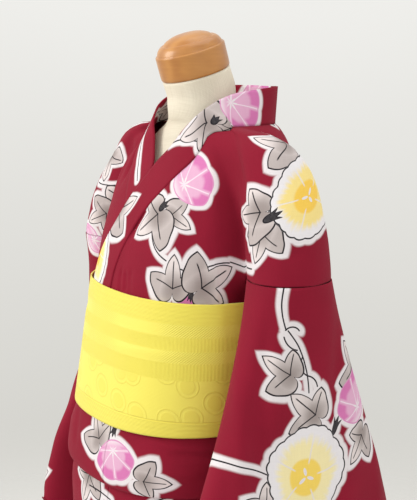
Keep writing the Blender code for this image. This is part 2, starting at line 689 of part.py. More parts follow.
def lofted(name, rings, mat):
    """A solid through closed rings, capped at both ends."""
    mesh = bmesh.new()
    layers = [[mesh.verts.new(point) for point in ring] for ring in rings]
    count = len(layers[0])
    for low, high in zip(layers, layers[1:]):
        for c in range(count):
            d = (c + 1) % count
            mesh.faces.new((low[c], low[d], high[d], high[c]))
    mesh.faces.new(layers[0][::-1])
    mesh.faces.new(layers[-1])
    return finish(name, mesh, mat)


def turned(name, profile, sides, mat):
    rings = []
    for radius, rise in profile:
        ring = []
        for c in range(sides):
            angle = 2.0 * math.pi * c / sides
            ring.append((radius * math.cos(angle), radius * math.sin(angle), rise))
        rings.append(ring)
    return lofted(name, rings, mat)


def make_stand():
    linen = material("linen", LINEN, 0.85)
    wood = material("turned_wood", WOOD, 0.35)
    steel = material("steel", STEEL, 0.30, 1.0)
    enamel = material("enamel", ENAMEL, 0.45)
    rings = [form_ring(dict(zip(FORM_COLUMNS, values))) for values in FORM]
    lofted("form_body", rings, linen)
    cap = turned("form_cap", CAP_PROFILE, CAP_SIDES, wood)
    cap.location = CAP_FOOT
    cap.rotation_euler = (math.radians(CAP_TILT), 0.0, 0.0)
    pole_profile = ((POLE_RADIUS, PLATE_THICK + FORM_GAP), (POLE_RADIUS, FORM[0, 0] - FORM_GAP))
    turned("form_pole", pole_profile, FORM_SIDES, steel)
    plate_profile = (
        (PLATE_RADIUS, 0.0),
        (PLATE_RADIUS, PLATE_THICK - PLATE_EDGE),
        (PLATE_RADIUS - PLATE_EDGE, PLATE_THICK),
    )
    turned("form_base", plate_profile, 2 * FORM_SIDES, enamel)


def main():
    clear_scene()
    cotton = material("printed_cotton", WINE, 0.80)
    silk = material("belt_cloth", YELLOW, 0.60)
    make_bodice(cotton)
    make_collar(cotton)
    make_sleeve("sleeve_left", cotton, "left_y", 1.0)
    make_sleeve("sleeve_right", cotton, "right_y", -1.0)
    make_lower_body(cotton)
    make_belt(silk)
    make_stand()


main()
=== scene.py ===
import math

import bpy
import numpy as np
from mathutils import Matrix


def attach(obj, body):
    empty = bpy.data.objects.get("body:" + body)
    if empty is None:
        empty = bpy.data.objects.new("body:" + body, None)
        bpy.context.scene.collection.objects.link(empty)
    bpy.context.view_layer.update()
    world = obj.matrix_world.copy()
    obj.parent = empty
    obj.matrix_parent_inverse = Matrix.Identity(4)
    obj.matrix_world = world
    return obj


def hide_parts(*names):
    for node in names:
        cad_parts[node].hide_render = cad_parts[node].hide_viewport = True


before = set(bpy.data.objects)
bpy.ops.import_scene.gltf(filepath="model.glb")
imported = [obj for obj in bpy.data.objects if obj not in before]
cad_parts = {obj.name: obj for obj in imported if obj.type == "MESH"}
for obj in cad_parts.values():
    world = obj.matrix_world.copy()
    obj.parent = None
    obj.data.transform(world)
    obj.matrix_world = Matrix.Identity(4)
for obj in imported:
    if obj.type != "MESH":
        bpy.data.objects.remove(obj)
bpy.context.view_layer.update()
print("frame loaded:", len(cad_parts), "solids")

# Seen from the wearer's front left, at shoulder height, looking a little down.
shot = {"place": (1.182, -0.750, 1.425), "turn": 57.0, "down": 10.8, "lens": 72.3}
cameraData = bpy.data.cameras.new("camera")
cameraData.sensor_fit = "VERTICAL"
cameraData.sensor_height = 36.0
cameraData.lens = shot["lens"]
camera = bpy.data.objects.new("camera", cameraData)
camera.location = shot["place"]
camera.rotation_euler = (math.radians(90.0 - shot["down"]), 0.0, math.radians(shot["turn"]))
bpy.context.collection.objects.link(camera)
bpy.context.scene.camera = camera
bpy.context.scene.view_settings.view_transform = "Standard"


# Numbers: soft steps and smooth tables

def softStep(value, start, end):
    share = np.clip((value - start) / (end - start), 0.0, 1.0)
    return share * share * (3.0 - 2.0 * share)


def readTable(rows, value):
    # a smooth curve through the rows that never overshoots; the first column is the key
    table = np.array(rows, float)
    if table[0, 0] > table[-1, 0]:
        table = table[::-1]
    keys = table[:, 0]
    value = np.clip(np.asarray(value, float), keys[0], keys[-1])
    i = np.clip(np.searchsorted(keys, value, side="right") - 1, 0, len(keys) - 2)
    step = np.diff(keys)
    rise = np.diff(table, axis=0) / step[:, None]
    both = rise[1:] * rise[:-1]
    total = rise[1:] + rise[:-1]
    middle = np.where(both > 0.0, 2.0 * both / np.where(total == 0.0, 1.0, total), 0.0)
    slope = np.vstack((rise[:1], middle, rise[-1:]))
    share = ((value - keys[i]) / step[i])[..., None]
    length = step[i][..., None]
    return ((2 * share ** 3 - 3 * share ** 2 + 1) * table[i]
            + (share ** 3 - 2 * share ** 2 + share) * length * slope[i]
            + (3 * share ** 2 - 2 * share ** 3) * table[i + 1]
            + (share ** 3 - share ** 2) * length * slope[i + 1])


def ovalRadius(angle, half, depth, power):
    return ((np.abs(np.cos(angle)) / half) ** power + (np.abs(np.sin(angle)) / depth) ** power) ** (-1.0 / power)


# The shape the cloth is worn in, a row for each height.
# Columns: height, half-width, front, back, out, middle, dropAcross, dropDeep, recess, falls
worn = {
    "rows": (
        (0.090, 0.150, 0.132, 0.126, 0.212, 0.000, 0.048, 0.052, 0.000, 1.0),
        (0.300, 0.156, 0.142, 0.132, 0.212, 0.000, 0.048, 0.052, 0.000, 1.0),
        (0.550, 0.166, 0.160, 0.140, 0.212, 0.000, 0.048, 0.052, 0.000, 1.0),
        (0.760, 0.171, 0.173, 0.143, 0.212, 0.000, 0.048, 0.052, 0.000, 1.0),
        (0.860, 0.166, 0.176, 0.140, 0.212, 0.000, 0.048, 0.052, 0.000, 1.0),
        (0.940, 0.158, 0.165, 0.131, 0.212, 0.000, 0.048, 0.052, 0.000, 1.0),
        (1.020, 0.154, 0.151, 0.127, 0.212, 0.000, 0.048, 0.052, 0.000, 1.0),
        (1.118, 0.154, 0.132, 0.126, 0.212, 0.000, 0.048, 0.052, 0.026, 1.0),
        (1.155, 0.155, 0.124, 0.127, 0.212, 0.000, 0.048, 0.052, 0.028, 1.0),
        (1.195, 0.153, 0.112, 0.127, 0.203, 0.003, 0.048, 0.052, 0.027, 1.0),
        (1.238, 0.148, 0.094, 0.126, 0.189, 0.006, 0.048, 0.049, 0.020, 1.0),
        (1.280, 0.136, 0.070, 0.122, 0.170, 0.010, 0.046, 0.043, 0.009, 1.0),
        (1.312, 0.117, 0.051, 0.117, 0.150, 0.006, 0.043, 0.032, 0.002, 1.0),
        (1.329, 0.098, 0.040, 0.112, 0.125, 0.002, 0.040, 0.018, 0.000, 0.9),
        (1.336, 0.083, 0.036, 0.108, 0.100, 0.000, 0.010, 0.010, 0.000, 0.0),
    ),
    "roundness": 2.4,
    "frontAngles": (-145.0, -130.0, -115.0, -100.0, -85.0, -70.0, -56.0, -44.0, -33.5, -24.0),
    "dropAngles": (-120.0, -85.0, -45.0, 0.0, 45.0, 85.0, 120.0),
    "backAngles": (18.5, 32.0, 47.0, 62.0, 76.0, 90.0, 104.0),
    "underarm": 7.0,          # degrees each way that the body takes under the arm
    "backRecess": 0.6,
    "recessIn": 0.15,
    "recessNear": 0.62,
    "neckZ": 1.336,
    "armZ": 1.155,            # the dropped armhole seam
    "beltTopZ": 1.118,
    "beltLowZ": 0.944,
}
chestEdge = len(worn["frontAngles"]) - 1
backEdge = chestEdge + len(worn["dropAngles"]) + 3


def bodyPoint(level, degrees):
    angle = math.radians(degrees)
    depth = level["front"] if angle < 0.0 else level["back"]
    radius = ovalRadius(angle, level["half"], depth, worn["roundness"])
    return np.stack((radius * math.cos(angle), radius * math.sin(angle)), -1)


def stationPoints(height, falls, cut, forward):
    # plan points round the left half at each height: front, fold, shoulder drop, fold, back
    table = readTable(worn["rows"], height)
    names = ("z", "half", "front", "back", "out", "mid", "dropA", "dropB", "recess", "falls")
    level = {name: table[:, k] for k, name in enumerate(names)}
    level["mid"] = level["mid"] - forward * softStep(-height, -1.325, -1.200)
    falls = (falls * level["falls"])[:, None]
    cut = cut * level["recess"]
    points = [bodyPoint(level, degrees) for degrees in worn["frontAngles"]]
    drop = []
    for degrees in worn["dropAngles"]:
        angle = math.radians(degrees)
        under = bodyPoint(level, worn["underarm"] * degrees / worn["dropAngles"][-1])
        over = np.stack((level["out"] + level["dropA"] * math.cos(angle),
                         level["mid"] + level["dropB"] * math.sin(angle)), -1)
        drop.append(under + falls * (over - under))
    back = [bodyPoint(level, degrees) for degrees in worn["backAngles"]]
    near = worn["recessNear"]
    before = near * points[-1] + (1.0 - near) * drop[0]
    before = before + np.stack((-cut * worn["recessIn"], cut), -1)
    behind = near * back[0] + (1.0 - near) * drop[-1]
    behind = behind + np.stack((-cut * worn["recessIn"], -cut), -1) * worn["backRecess"]
    return np.stack(points + [before] + drop + [behind] + back, 1)


def readCurve(stations, place):
    count = stations.shape[1]
    i = np.clip(np.floor(place).astype(int), 0, count - 2)
    rows = np.arange(len(place))
    share = (place - i)[:, None]
    p1 = stations[rows, i]
    p2 = stations[rows, i + 1]
    p0 = np.where((i > 0)[:, None], stations[rows, np.maximum(i - 1, 0)], 2 * p1 - p2)
    p3 = np.where((i + 2 < count)[:, None], stations[rows, np.minimum(i + 2, count - 1)], 2 * p2 - p1)
    return 0.5 * (2 * p1 + (p2 - p0) * share + (2 * p0 - 5 * p1 + 4 * p2 - p3) * share ** 2
                  + (3 * p1 - p0 - 3 * p2 + p3) * share ** 3)


def stationOf(degrees):
    degrees = np.asarray(degrees, float)
    front = worn["frontAngles"]
    back = worn["backAngles"]
    keys = front + back
    values = tuple(range(len(front))) + tuple(backEdge + k for k in range(len(back)))
    return np.interp(degrees, keys, values)


def wornSurface(place, height, lift=0.0, falls=1.0, cut=1.0, forward=0.0):
    place, height, lift, falls = np.broadcast_arrays(place, height, lift, falls)
    shape = place.shape
    p = place.ravel().astype(float)
    z = height.ravel().astype(float)
    f = falls.ravel().astype(float)

    def level(height):
        return stationPoints(height, f, cut, forward)

    def spot(stations, place, height):
        plan = readCurve(stations, place)
        return np.column_stack((plan, height))

    low = np.maximum(z - 0.003, worn["rows"][0][0])
    high = np.minimum(z + 0.003, worn["rows"][-1][0])
    here = level(z)
    point = spot(here, p, z)
    run = spot(here, p + 0.05, z) - spot(here, p - 0.05, z)
    rise = spot(level(high), p, high) - spot(level(low), p, low)
    normal = np.cross(run, rise)
    normal /= np.linalg.norm(normal, axis=1, keepdims=True)
    point = point + normal * lift.ravel()[:, None]
    return point.reshape(shape + (3,)), normal.reshape(shape + (3,))


def aroundSurface(degrees, height, lift):
    # the plain body surface at any angle, on either side
    turned = (degrees + 180.0) % 360.0 - 180.0
    far = (np.abs(turned) > 90.0) & ~((turned > -145.0) & (turned < -90.0))
    near = np.where(far, (360.0 - turned) % 360.0 - 180.0, turned)
    point, normal = wornSurface(stationOf(near), height, lift, 0.0, 0.0)
    flip = np.stack((np.where(far, -1.0, 1.0), np.ones_like(turned), np.ones_like(turned)), -1)
    return point * flip, normal * flip


# Building meshes from grids of points

def gridNormals(grid, loop=False):
    if loop:
        wide = np.concatenate((grid[:, -2:-1], grid, grid[:, 1:2]), axis=1)
        run = wide[:, 2:] - wide[:, :-2]
    else:
        run = np.gradient(grid, axis=1)
    rise = np.gradient(grid, axis=0)
    normal = np.cross(rise, run)
    size = np.linalg.norm(normal, axis=2, keepdims=True)
    return normal / np.maximum(size, 1e-12)


def arcs(grid, axis, start):
    # distance along rows or columns, measured from one row or column
    steps = np.linalg.norm(np.diff(grid, axis=axis), axis=2)
    total = np.cumsum(steps, axis=axis)
    zero = np.zeros_like(np.take(total, [0], axis=axis))
    total = np.concatenate((zero, total), axis=axis)
    return total - np.take(total, [start], axis=axis)


def mesh(name, points, quads, uvs, surface):
    used, quads = np.unique(quads, return_inverse=True)
    quads = quads.reshape(-1, 4)
    data = bpy.data.meshes.new(name)
    data.vertices.add(len(used))
    data.vertices.foreach_set("co", points[used].ravel())
    data.loops.add(quads.size)
    data.loops.foreach_set("vertex_index", quads.ravel().astype(np.int32))
    data.polygons.add(len(quads))
    data.polygons.foreach_set("loop_start", np.arange(0, quads.size, 4, dtype=np.int32))
    data.update(calc_edges=True)
    data.uv_layers.new(name="cloth").data.foreach_set("uv", uvs.ravel())
    data.validate()
    data.shade_smooth()
    data.materials.append(surface)
    thing = bpy.data.objects.new(name, data)
    bpy.context.collection.objects.link(thing)
    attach(thing, "root")
    return thing


def clothPiece(name, outer, uv, thickness, outward, surface, keep=None, loop=False):
    # a thin closed shell: outer grid, inner grid, and a rim where cells are left out
    rows, columns = outer.shape[:2]
    normal = gridNormals(outer, loop)
    turnOver = np.mean(np.sum(normal * outward, axis=2)) < 0.0
    if turnOver:
        normal = -normal
    inner = outer - normal * thickness
    wide = columns - 1 if loop else columns
    count = rows * columns
    points = np.concatenate((outer.reshape(-1, 3), inner.reshape(-1, 3)))
    flat = np.concatenate((uv.reshape(-1, 2), uv.reshape(-1, 2)))
    if keep is None:
        keep = np.ones((rows - 1, columns - 1), bool)
    r, c = np.nonzero(keep)
    corners = np.stack((r * columns + c, r * columns + c + 1, (r + 1) * columns + c + 1, (r + 1) * columns + c), 1)
    parts = [corners, corners[:, ::-1] + count]
    edges = np.pad(keep, 1)
    if loop:
        edges[:, 0] = edges[:, -2]
        edges[:, -1] = edges[:, 1]
    sides = ((-1, 0, 0, 1), (0, 1, 1, 2), (1, 0, 2, 3), (0, -1, 3, 0))
    for down, across, start, end in sides:
        bare = ~edges[r + 1 + down, c + 1 + across]
        a = corners[bare, start]
        b = corners[bare, end]
        parts.append(np.stack((b, a, a + count, b + count), 1))
    quads = np.concatenate(parts)
    if not turnOver:
        quads = quads[:, ::-1]
    uvs = flat[quads]
    if loop:
        last = quads % columns == columns - 1
        quads = np.where(last, quads - (columns - 1), quads)
    return mesh(name, points, quads, uvs, surface)


def creaseDepth(u, v, creases):
    # soft troughs and ridges, each a gently bent line in cloth metres
    # columns: fromU, fromV, toU, toV, bend, width, depth
    depth = np.zeros_like(u)
    for fromU, fromV, toU, toV, bend, width, deep in creases:
        runU = toU - fromU
        runV = toV - fromV
        length = math.hypot(runU, runV)
        along = ((u - fromU) * runU + (v - fromV) * runV) / length ** 2
        off = ((u - fromU) * runV - (v - fromV) * runU) / length
        off = off - bend * 4.0 * along * (1.0 - along)
        fade = softStep(along, -0.12, 0.22) * softStep(-along, -1.12, -0.72)
        depth += deep * np.exp(-(off / width) ** 2) * fade
    return depth


def pushed(grid, outward, amount, loop=False):
    normal = gridNormals(grid, loop)
    sign = np.sign(np.mean(np.sum(normal * outward, axis=2)))
    return grid + normal * sign * amount[..., None]


def mirrored(grid):
    return grid * np.array((-1.0, 1.0, 1.0))


# Shader nodes, built with a few short helpers

def add(tree, kind, inputs, **settings):
    made = tree.nodes.new(kind)
    for key, value in settings.items():
        setattr(made, key, value)
    for key, value in inputs.items():
        if isinstance(value, bpy.types.NodeSocket):
            tree.links.new(value, made.inputs[key])
        else:
            made.inputs[key].default_value = value
    return made


def calc(tree, operation, one, two=0.0, three=0.0):
    return add(tree, "ShaderNodeMath", {0: one, 1: two, 2: three}, operation=operation).outputs[0]


def times(tree, one, two):
    return calc(tree, "MULTIPLY", one, two)


def plus(tree, one, two):
    return calc(tree, "ADD", one, two)


def minus(tree, one, two):
    return calc(tree, "SUBTRACT", one, two)


def step(tree, value, start, end):
    made = add(tree, "ShaderNodeMapRange", {0: value, 1: start, 2: end}, interpolation_type="SMOOTHSTEP")
    return made.outputs[0]


def mix(tree, share, one, two):
    made = add(tree, "ShaderNodeMix", {"Factor": share}, data_type="RGBA")
    for key, value in ((6, one), (7, two)):
        if isinstance(value, bpy.types.NodeSocket):
            tree.links.new(value, made.inputs[key])
        else:
            made.inputs[key].default_value = value
    return made.outputs[2]


def noise(tree, where, scale, detail=2.0, rough=0.5):
    made = add(tree, "ShaderNodeTexNoise", {"Vector": where, "Scale": scale, "Detail": detail, "Roughness": rough})
    return made.outputs["Fac"]


def startGroup(name, inputs, outputs):
    tree = bpy.data.node_groups.new(name, "ShaderNodeTree")
    for label, kind, value in inputs:
        socket = tree.interface.new_socket(label, in_out="INPUT", socket_type="NodeSocket" + kind)
        if value is not None:
            socket.default_value = value
    for label, kind in outputs:
        tree.interface.new_socket(label, in_out="OUTPUT", socket_type="NodeSocket" + kind)
    source = tree.nodes.new("NodeGroupInput").outputs
    target = tree.nodes.new("NodeGroupOutput").inputs
    return tree, source, target


def finishGroup(tree, target, values):
    for label, socket in values.items():
        tree.links.new(socket, target[label])
    return tree


white = (0.715, 0.670, 0.685, 1.0)
ink = (0.012, 0.010, 0.014, 1.0)

# Every motif takes the print so far and lays itself on top:
# colour, how much of the ground it covers, and how near the closest outline is (for the pale halo)
motifInputs = [("Cloth", "Vector", None), ("Place", "Vector", (0.0, 0.0, 0.0)), ("Turn", "Float", 0.0),
               ("Size", "Float", 0.04), ("Colour", "Color", white), ("Cover", "Float", 0.0), ("Near", "Float", 1.0)]
motifOutputs = [("Colour", "Color"), ("Cover", "Float"), ("Near", "Float")]


def motifPlace(tree, source):
    turn = add(tree, "ShaderNodeCombineXYZ", {2: source["Turn"]}).outputs[0]
    local = add(tree, "ShaderNodeMapping", {"Vector": source["Cloth"], "Location": source["Place"],
                                            "Rotation": turn}, vector_type="TEXTURE").outputs[0]
    parts = add(tree, "ShaderNodeSeparateXYZ", {0: local}).outputs
    x = calc(tree, "DIVIDE", parts[0], source["Size"])
    y = calc(tree, "DIVIDE", parts[1], source["Size"])
    radius = calc(tree, "SQRT", plus(tree, times(tree, x, x), times(tree, y, y)))
    angle = calc(tree, "ARCTAN2", y, x)
    return x, y, radius, angle


def outlineFrom(tree, angle, points):
    # radius of an even shape by angle: 0 straight ahead, 1 straight behind
    share = calc(tree, "DIVIDE", calc(tree, "ABSOLUTE", angle), math.pi)
    made = add(tree, "ShaderNodeFloatCurve", {"Value": share})
    curve = made.mapping.curves[0]
    curve.points[0].location = points[0][:2]
    curve.points[1].location = points[-1][:2]
    for x, y, *kind in points[1:-1]:
        curve.points.new(x, y)
    for point, values in zip(curve.points, points):
        point.handle_type = "VECTOR" if len(values) > 2 else "AUTO"
    made.mapping.update()
    return made.outputs[0]


def layMotif(tree, source, target, edge, colour, lines, outline=ink):
    # edge: distance from the outline in metres, less than nothing inside
    inside = step(tree, edge, 0.0003, -0.0003)
    rim = step(tree, calc(tree, "ABSOLUTE", edge), 0.0013, 0.0006)
    drawn = mix(tree, times(tree, lines, inside), colour, ink)
    drawn = mix(tree, rim, drawn, outline)
    cover = calc(tree, "MAXIMUM", inside, rim)
    finishGroup(tree, target, {
        "Colour": mix(tree, cover, source["Colour"], drawn),
        "Cover": calc(tree, "MAXIMUM", source["Cover"], cover),
        "Near": calc(tree, "MINIMUM", source["Near"], edge),
    })


def lineMask(tree, offset, wide):
    return step(tree, calc(tree, "ABSOLUTE", offset), wide, 0.4 * wide)


def makeLeaf():
    tree, source, target = startGroup("leaf", motifInputs, motifOutputs)
    x, y, radius, angle = motifPlace(tree, source)
    side = calc(tree, "ABSOLUTE", y)
    outline = outlineFrom(tree, angle, (
        (0.0, 1.0, 1), (0.03, 0.90), (0.07, 0.77), (0.12, 0.61), (0.19, 0.44, 1), (0.26, 0.58), (0.31, 0.70),
        (0.36, 0.82, 1), (0.44, 0.74), (0.54, 0.61), (0.66, 0.54), (0.80, 0.47), (0.92, 0.34), (1.0, 0.14, 1)))
    uneven = plus(tree, times(tree, calc(tree, "SINE", angle), 0.11), 1.0)
    outline = times(tree, outline, uneven)
    edge = times(tree, times(tree, minus(tree, radius, outline), source["Size"]), 0.8)
    middleVein = times(tree, lineMask(tree, y, 0.024), step(tree, x, 0.84, 0.76))
    lean = math.radians(62.0)
    off = minus(tree, times(tree, x, math.sin(lean)), times(tree, side, math.cos(lean)))
    bent = plus(tree, off, times(tree, times(tree, side, side), 0.22))
    sideVein = times(tree, lineMask(tree, bent, 0.023), step(tree, radius, 0.66, 0.58))
    veins = calc(tree, "MAXIMUM", times(tree, middleVein, step(tree, x, -0.04, 0.0)), sideVein)
    mist = noise(tree, source["Cloth"], 34.0, 1.0)
    base = step(tree, plus(tree, radius, times(tree, mist, 0.4)), 0.95, 0.25)
    shade = calc(tree, "MAXIMUM", base, times(tree, step(tree, y, 0.05, 0.50), 0.6))
    colour = mix(tree, shade, (0.69, 0.615, 0.605, 1.0), (0.31, 0.262, 0.250, 1.0))
    layMotif(tree, source, target, edge, colour, veins)
    return tree


def makeOpenFlower():
    more = [("Heart", "Color", (0.83, 0.56, 0.10, 1.0)), ("Petal", "Color", (0.83, 0.70, 0.34, 1.0))]
    tree, source, target = startGroup("open flower", motifInputs + more, motifOutputs)
    x, y, radius, angle = motifPlace(tree, source)
    scallop = times(tree, calc(tree, "ABSOLUTE", calc(tree, "SINE", times(tree, angle, 2.5))), 0.05)
    small = times(tree, calc(tree, "ABSOLUTE", calc(tree, "SINE", times(tree, angle, 11.0))), 0.028)
    lean = times(tree, calc(tree, "COSINE", angle), 0.10)
    outline = plus(tree, plus(tree, plus(tree, scallop, small), lean), 0.90)
    edge = times(tree, minus(tree, radius, outline), source["Size"])
    near = calc(tree, "DIVIDE", radius, outline)
    fold = calc(tree, "PINGPONG", plus(tree, angle, math.pi), math.pi / 5.0)
    offRay = times(tree, radius, calc(tree, "SINE", fold))
    ray = times(tree, lineMask(tree, offRay, 0.024),
                times(tree, step(tree, radius, 0.24, 0.32), step(tree, near, 0.86, 0.70)))
    fine = calc(tree, "PINGPONG", plus(tree, angle, math.pi), math.pi / 30.0)
    streak = step(tree, times(tree, fine, radius), 0.040, 0.0)
    mist = minus(tree, noise(tree, source["Cloth"], 40.0, 1.0), 0.5)
    soft = plus(tree, near, plus(tree, times(tree, mist, 0.30), times(tree, streak, 0.06)))
    colour = mix(tree, step(tree, radius, 0.34, 0.41), source["Heart"], source["Petal"])
    colour = mix(tree, step(tree, soft, 0.64, 0.88), colour, (0.74, 0.71, 0.73, 1.0))
    colour = mix(tree, times(tree, ray, 0.8), colour, white)
    spoke = calc(tree, "PINGPONG", plus(tree, angle, math.pi), math.pi / 3.0)
    outward = minus(tree, times(tree, radius, calc(tree, "COSINE", spoke)), 0.11)
    outward = calc(tree, "POWER", calc(tree, "DIVIDE", outward, 0.085), 2.0)
    sideways = times(tree, radius, calc(tree, "SINE", spoke))
    sideways = calc(tree, "POWER", calc(tree, "DIVIDE", sideways, 0.034), 2.0)
    stamen = plus(tree, outward, sideways)
    colour = mix(tree, step(tree, stamen, 1.2, 0.8), colour, white)
    layMotif(tree, source, target, edge, colour, 0.0)
    return tree


def makeTrumpet():
    tree, source, target = startGroup("trumpet flower", motifInputs, motifOutputs)
    x, y, radius, angle = motifPlace(tree, source)
    outline = outlineFrom(tree, angle, (
        (0.0, 0.98), (0.08, 0.98), (0.20, 0.96), (0.33, 0.88), (0.45, 0.74), (0.56, 0.58), (0.68, 0.47), (0.82, 0.41),
        (0.93, 0.39), (1.0, 0.38)))
    lobes = calc(tree, "ABSOLUTE", calc(tree, "SINE", times(tree, angle, 4.0)))
    outline = plus(tree, outline, times(tree, times(tree, lobes, 0.075), step(tree, x, 0.0, 0.4)))
    edge = times(tree, minus(tree, radius, outline), source["Size"])
    fold = calc(tree, "PINGPONG", plus(tree, angle, math.pi), math.pi / 8.0)
    offRay = times(tree, radius, calc(tree, "SINE", fold))
    alongRay = times(tree, radius, calc(tree, "COSINE", fold))
    front = step(tree, x, -0.20, 0.0)
    mist = noise(tree, source["Cloth"], 46.0, 1.0)
    near = calc(tree, "DIVIDE", radius, outline)
    patch = step(tree, plus(tree, near, times(tree, mist, 0.22)), 0.70, 0.86)
    patch = times(tree, patch, step(tree, offRay, 0.03, 0.11))
    colour = mix(tree, times(tree, patch, front), (0.68, 0.38, 0.54, 1.0), (0.60, 0.175, 0.40, 1.0))
    colour = mix(tree, step(tree, x, -0.12, -0.34), colour, (0.72, 0.58, 0.65, 1.0))
    ray = times(tree, lineMask(tree, offRay, 0.024), front)
    colour = mix(tree, times(tree, ray, 0.75), colour, (0.80, 0.70, 0.76, 1.0))
    stamen = plus(tree, calc(tree, "POWER", calc(tree, "DIVIDE", minus(tree, alongRay, 0.14), 0.10), 2.0),
                  calc(tree, "POWER", calc(tree, "DIVIDE", offRay, 0.030), 2.0))
    colour = mix(tree, times(tree, step(tree, stamen, 1.15, 0.85), front), colour, white)
    layMotif(tree, source, target, edge, colour, 0.0, (0.62, 0.26, 0.46, 1.0))
    return tree


def makeCalyx():
    tree, source, target = startGroup("calyx", motifInputs, motifOutputs)
    x, y, radius, angle = motifPlace(tree, source)
    outline = outlineFrom(tree, angle, (
        (0.0, 1.0, 1), (0.06, 0.62, 1), (0.12, 0.92, 1), (0.19, 0.40), (0.40, 0.20), (1.0, 0.16, 1)))
    edge = times(tree, minus(tree, radius, outline), source["Size"])
    gleam = times(tree, noise(tree, source["Cloth"], 300.0, 1.0), 0.08)
    layMotif(tree, source, target, edge, mix(tree, gleam, ink, white), 0.0)
    return tree


def makeStem():
    # an arc of the vine: Place is its centre, Size its radius, Turn the way to its middle, Half its half-angle
    tree, source, target = startGroup("vine", motifInputs + [("Half", "Float", 0.5)], motifOutputs)
    x, y, radius, angle = motifPlace(tree, source)
    beyond = calc(tree, "MAXIMUM", minus(tree, calc(tree, "ABSOLUTE", angle), source["Half"]), 0.0)
    across = minus(tree, radius, 1.0)
    away = calc(tree, "SQRT", plus(tree, times(tree, across, across), times(tree, beyond, beyond)))
    away = times(tree, away, source["Size"])
    line = step(tree, away, 0.0013, 0.0007)
    finishGroup(tree, target, {
        "Colour": mix(tree, line, source["Colour"], ink),
        "Cover": calc(tree, "MAXIMUM", source["Cover"], line),
        "Near": calc(tree, "MINIMUM", source["Near"], away),
    })
    return tree


motifs = {
    "leaf": makeLeaf(),
    "open": makeOpenFlower(),
    "trumpet": makeTrumpet(),
    "calyx": makeCalyx(),
    "vine": makeStem(),
}


def makeWeave():
    # threads both ways, with uneven yarns
    inputs = [("Cloth", "Vector", None), ("Pitch", "Float", 0.0006), ("Yarn", "Float", 0.5)]
    tree, source, target = startGroup("plain weave", inputs, [("Height", "Float"), ("Shade", "Float")])
    parts = add(tree, "ShaderNodeSeparateXYZ", {0: source["Cloth"]}).outputs
    turns = calc(tree, "DIVIDE", math.pi, source["Pitch"])
    across = calc(tree, "SINE", times(tree, parts[0], turns))
    down = calc(tree, "SINE", times(tree, parts[1], turns))
    threads = times(tree, across, down)
    long = add(tree, "ShaderNodeMapping", {"Vector": source["Cloth"], "Scale": (900.0, 30.0, 1.0)}).outputs[0]
    wide = add(tree, "ShaderNodeMapping", {"Vector": source["Cloth"], "Scale": (30.0, 900.0, 1.0)}).outputs[0]
    slub = plus(tree, noise(tree, long, 1.0, 1.0), noise(tree, wide, 1.0, 1.0))
    rumple = noise(tree, source["Cloth"], 22.0, 3.0)
    height = plus(tree, times(tree, threads, 0.25), times(tree, slub, source["Yarn"]))
    shade = plus(tree, times(tree, slub, 0.5), times(tree, rumple, 0.5))
    return finishGroup(tree, target, {"Height": height, "Shade": shade})


weave = makeWeave()


def startMaterial(name):
    made = bpy.data.materials.new(name)
    made.use_nodes = True
    tree = made.node_tree
    shader = tree.nodes["Principled BSDF"]
    cloth = tree.nodes.new("ShaderNodeUVMap").outputs[0]
    return made, tree, shader, cloth


def addBump(tree, shader, height, strength, distance):
    bump = add(tree, "ShaderNodeBump", {"Height": height, "Strength": strength, "Distance": distance})
    tree.links.new(bump.outputs[0], shader.inputs["Normal"])


printed = {
    "ground": (0.272, 0.0082, 0.029, 1.0),
    "groundDeep": (0.190, 0.0052, 0.018, 1.0),
    "halo": 0.0052,           # width of the pale ground round every motif, metres
    "haloSoft": 0.0042,       # and of its soft outer edge
    "wobble": 0.0030,         # how unevenly it is drawn
    "cell": (0.32, 0.40),     # the plain parts between carry a repeat this wide and tall
    "shift": 0.148,           # each column of it starts this much higher than the last
    "rough": 0.76,
    "sheen": 0.02,
}


def repeatPlace(tree, cloth, origin, clear):
    # where in the repeat a spot lies; cells whose middle is in the clear part are sent far away
    width, tall = printed["cell"]
    fromU, toU, lowV = clear
    parts = add(tree, "ShaderNodeSeparateXYZ", {0: cloth}).outputs
    u = calc(tree, "DIVIDE", minus(tree, parts[0], origin[0]), width)
    column = calc(tree, "FLOOR", u)
    lifted = times(tree, column, printed["shift"])
    v = calc(tree, "DIVIDE", minus(tree, plus(tree, parts[1], lifted), origin[1]), tall)
    row = calc(tree, "FLOOR", v)
    middleU = plus(tree, times(tree, plus(tree, column, 0.5), width), origin[0])
    middleV = minus(tree, plus(tree, times(tree, plus(tree, row, 0.5), tall), origin[1]), lifted)
    inside = times(tree, calc(tree, "GREATER_THAN", middleU, fromU), calc(tree, "LESS_THAN", middleU, toU))
    inside = times(tree, inside, calc(tree, "GREATER_THAN", middleV, lowV))
    inU = plus(tree, times(tree, minus(tree, u, column), width), times(tree, inside, 9.0))
    inV = times(tree, minus(tree, v, row), tall)
    return add(tree, "ShaderNodeCombineXYZ", {0: inU, 1: inV}).outputs[0]


def layMarks(tree, where, state, marks):
    # marks: kind, u, v, turn in degrees, size, and for a vine its half-angle, or a flower its colours
    for kind, u, v, turn, size, *more in marks:
        motif = add(tree, "ShaderNodeGroup", {}, node_tree=motifs[kind])
        tree.links.new(where, motif.inputs["Cloth"])
        motif.inputs["Place"].default_value = (u, v, 0.0)
        motif.inputs["Turn"].default_value = math.radians(turn)
        motif.inputs["Size"].default_value = size
        if kind == "vine":
            motif.inputs["Half"].default_value = math.radians(more[0])
        if kind == "open" and more:
            motif.inputs["Heart"].default_value = more[0]
            motif.inputs["Petal"].default_value = more[1]
        for label, value in state.items():
            if isinstance(value, bpy.types.NodeSocket):
                tree.links.new(value, motif.inputs[label])
            else:
                motif.inputs[label].default_value = value
        state = {label: motif.outputs[label] for label in state}
    return state


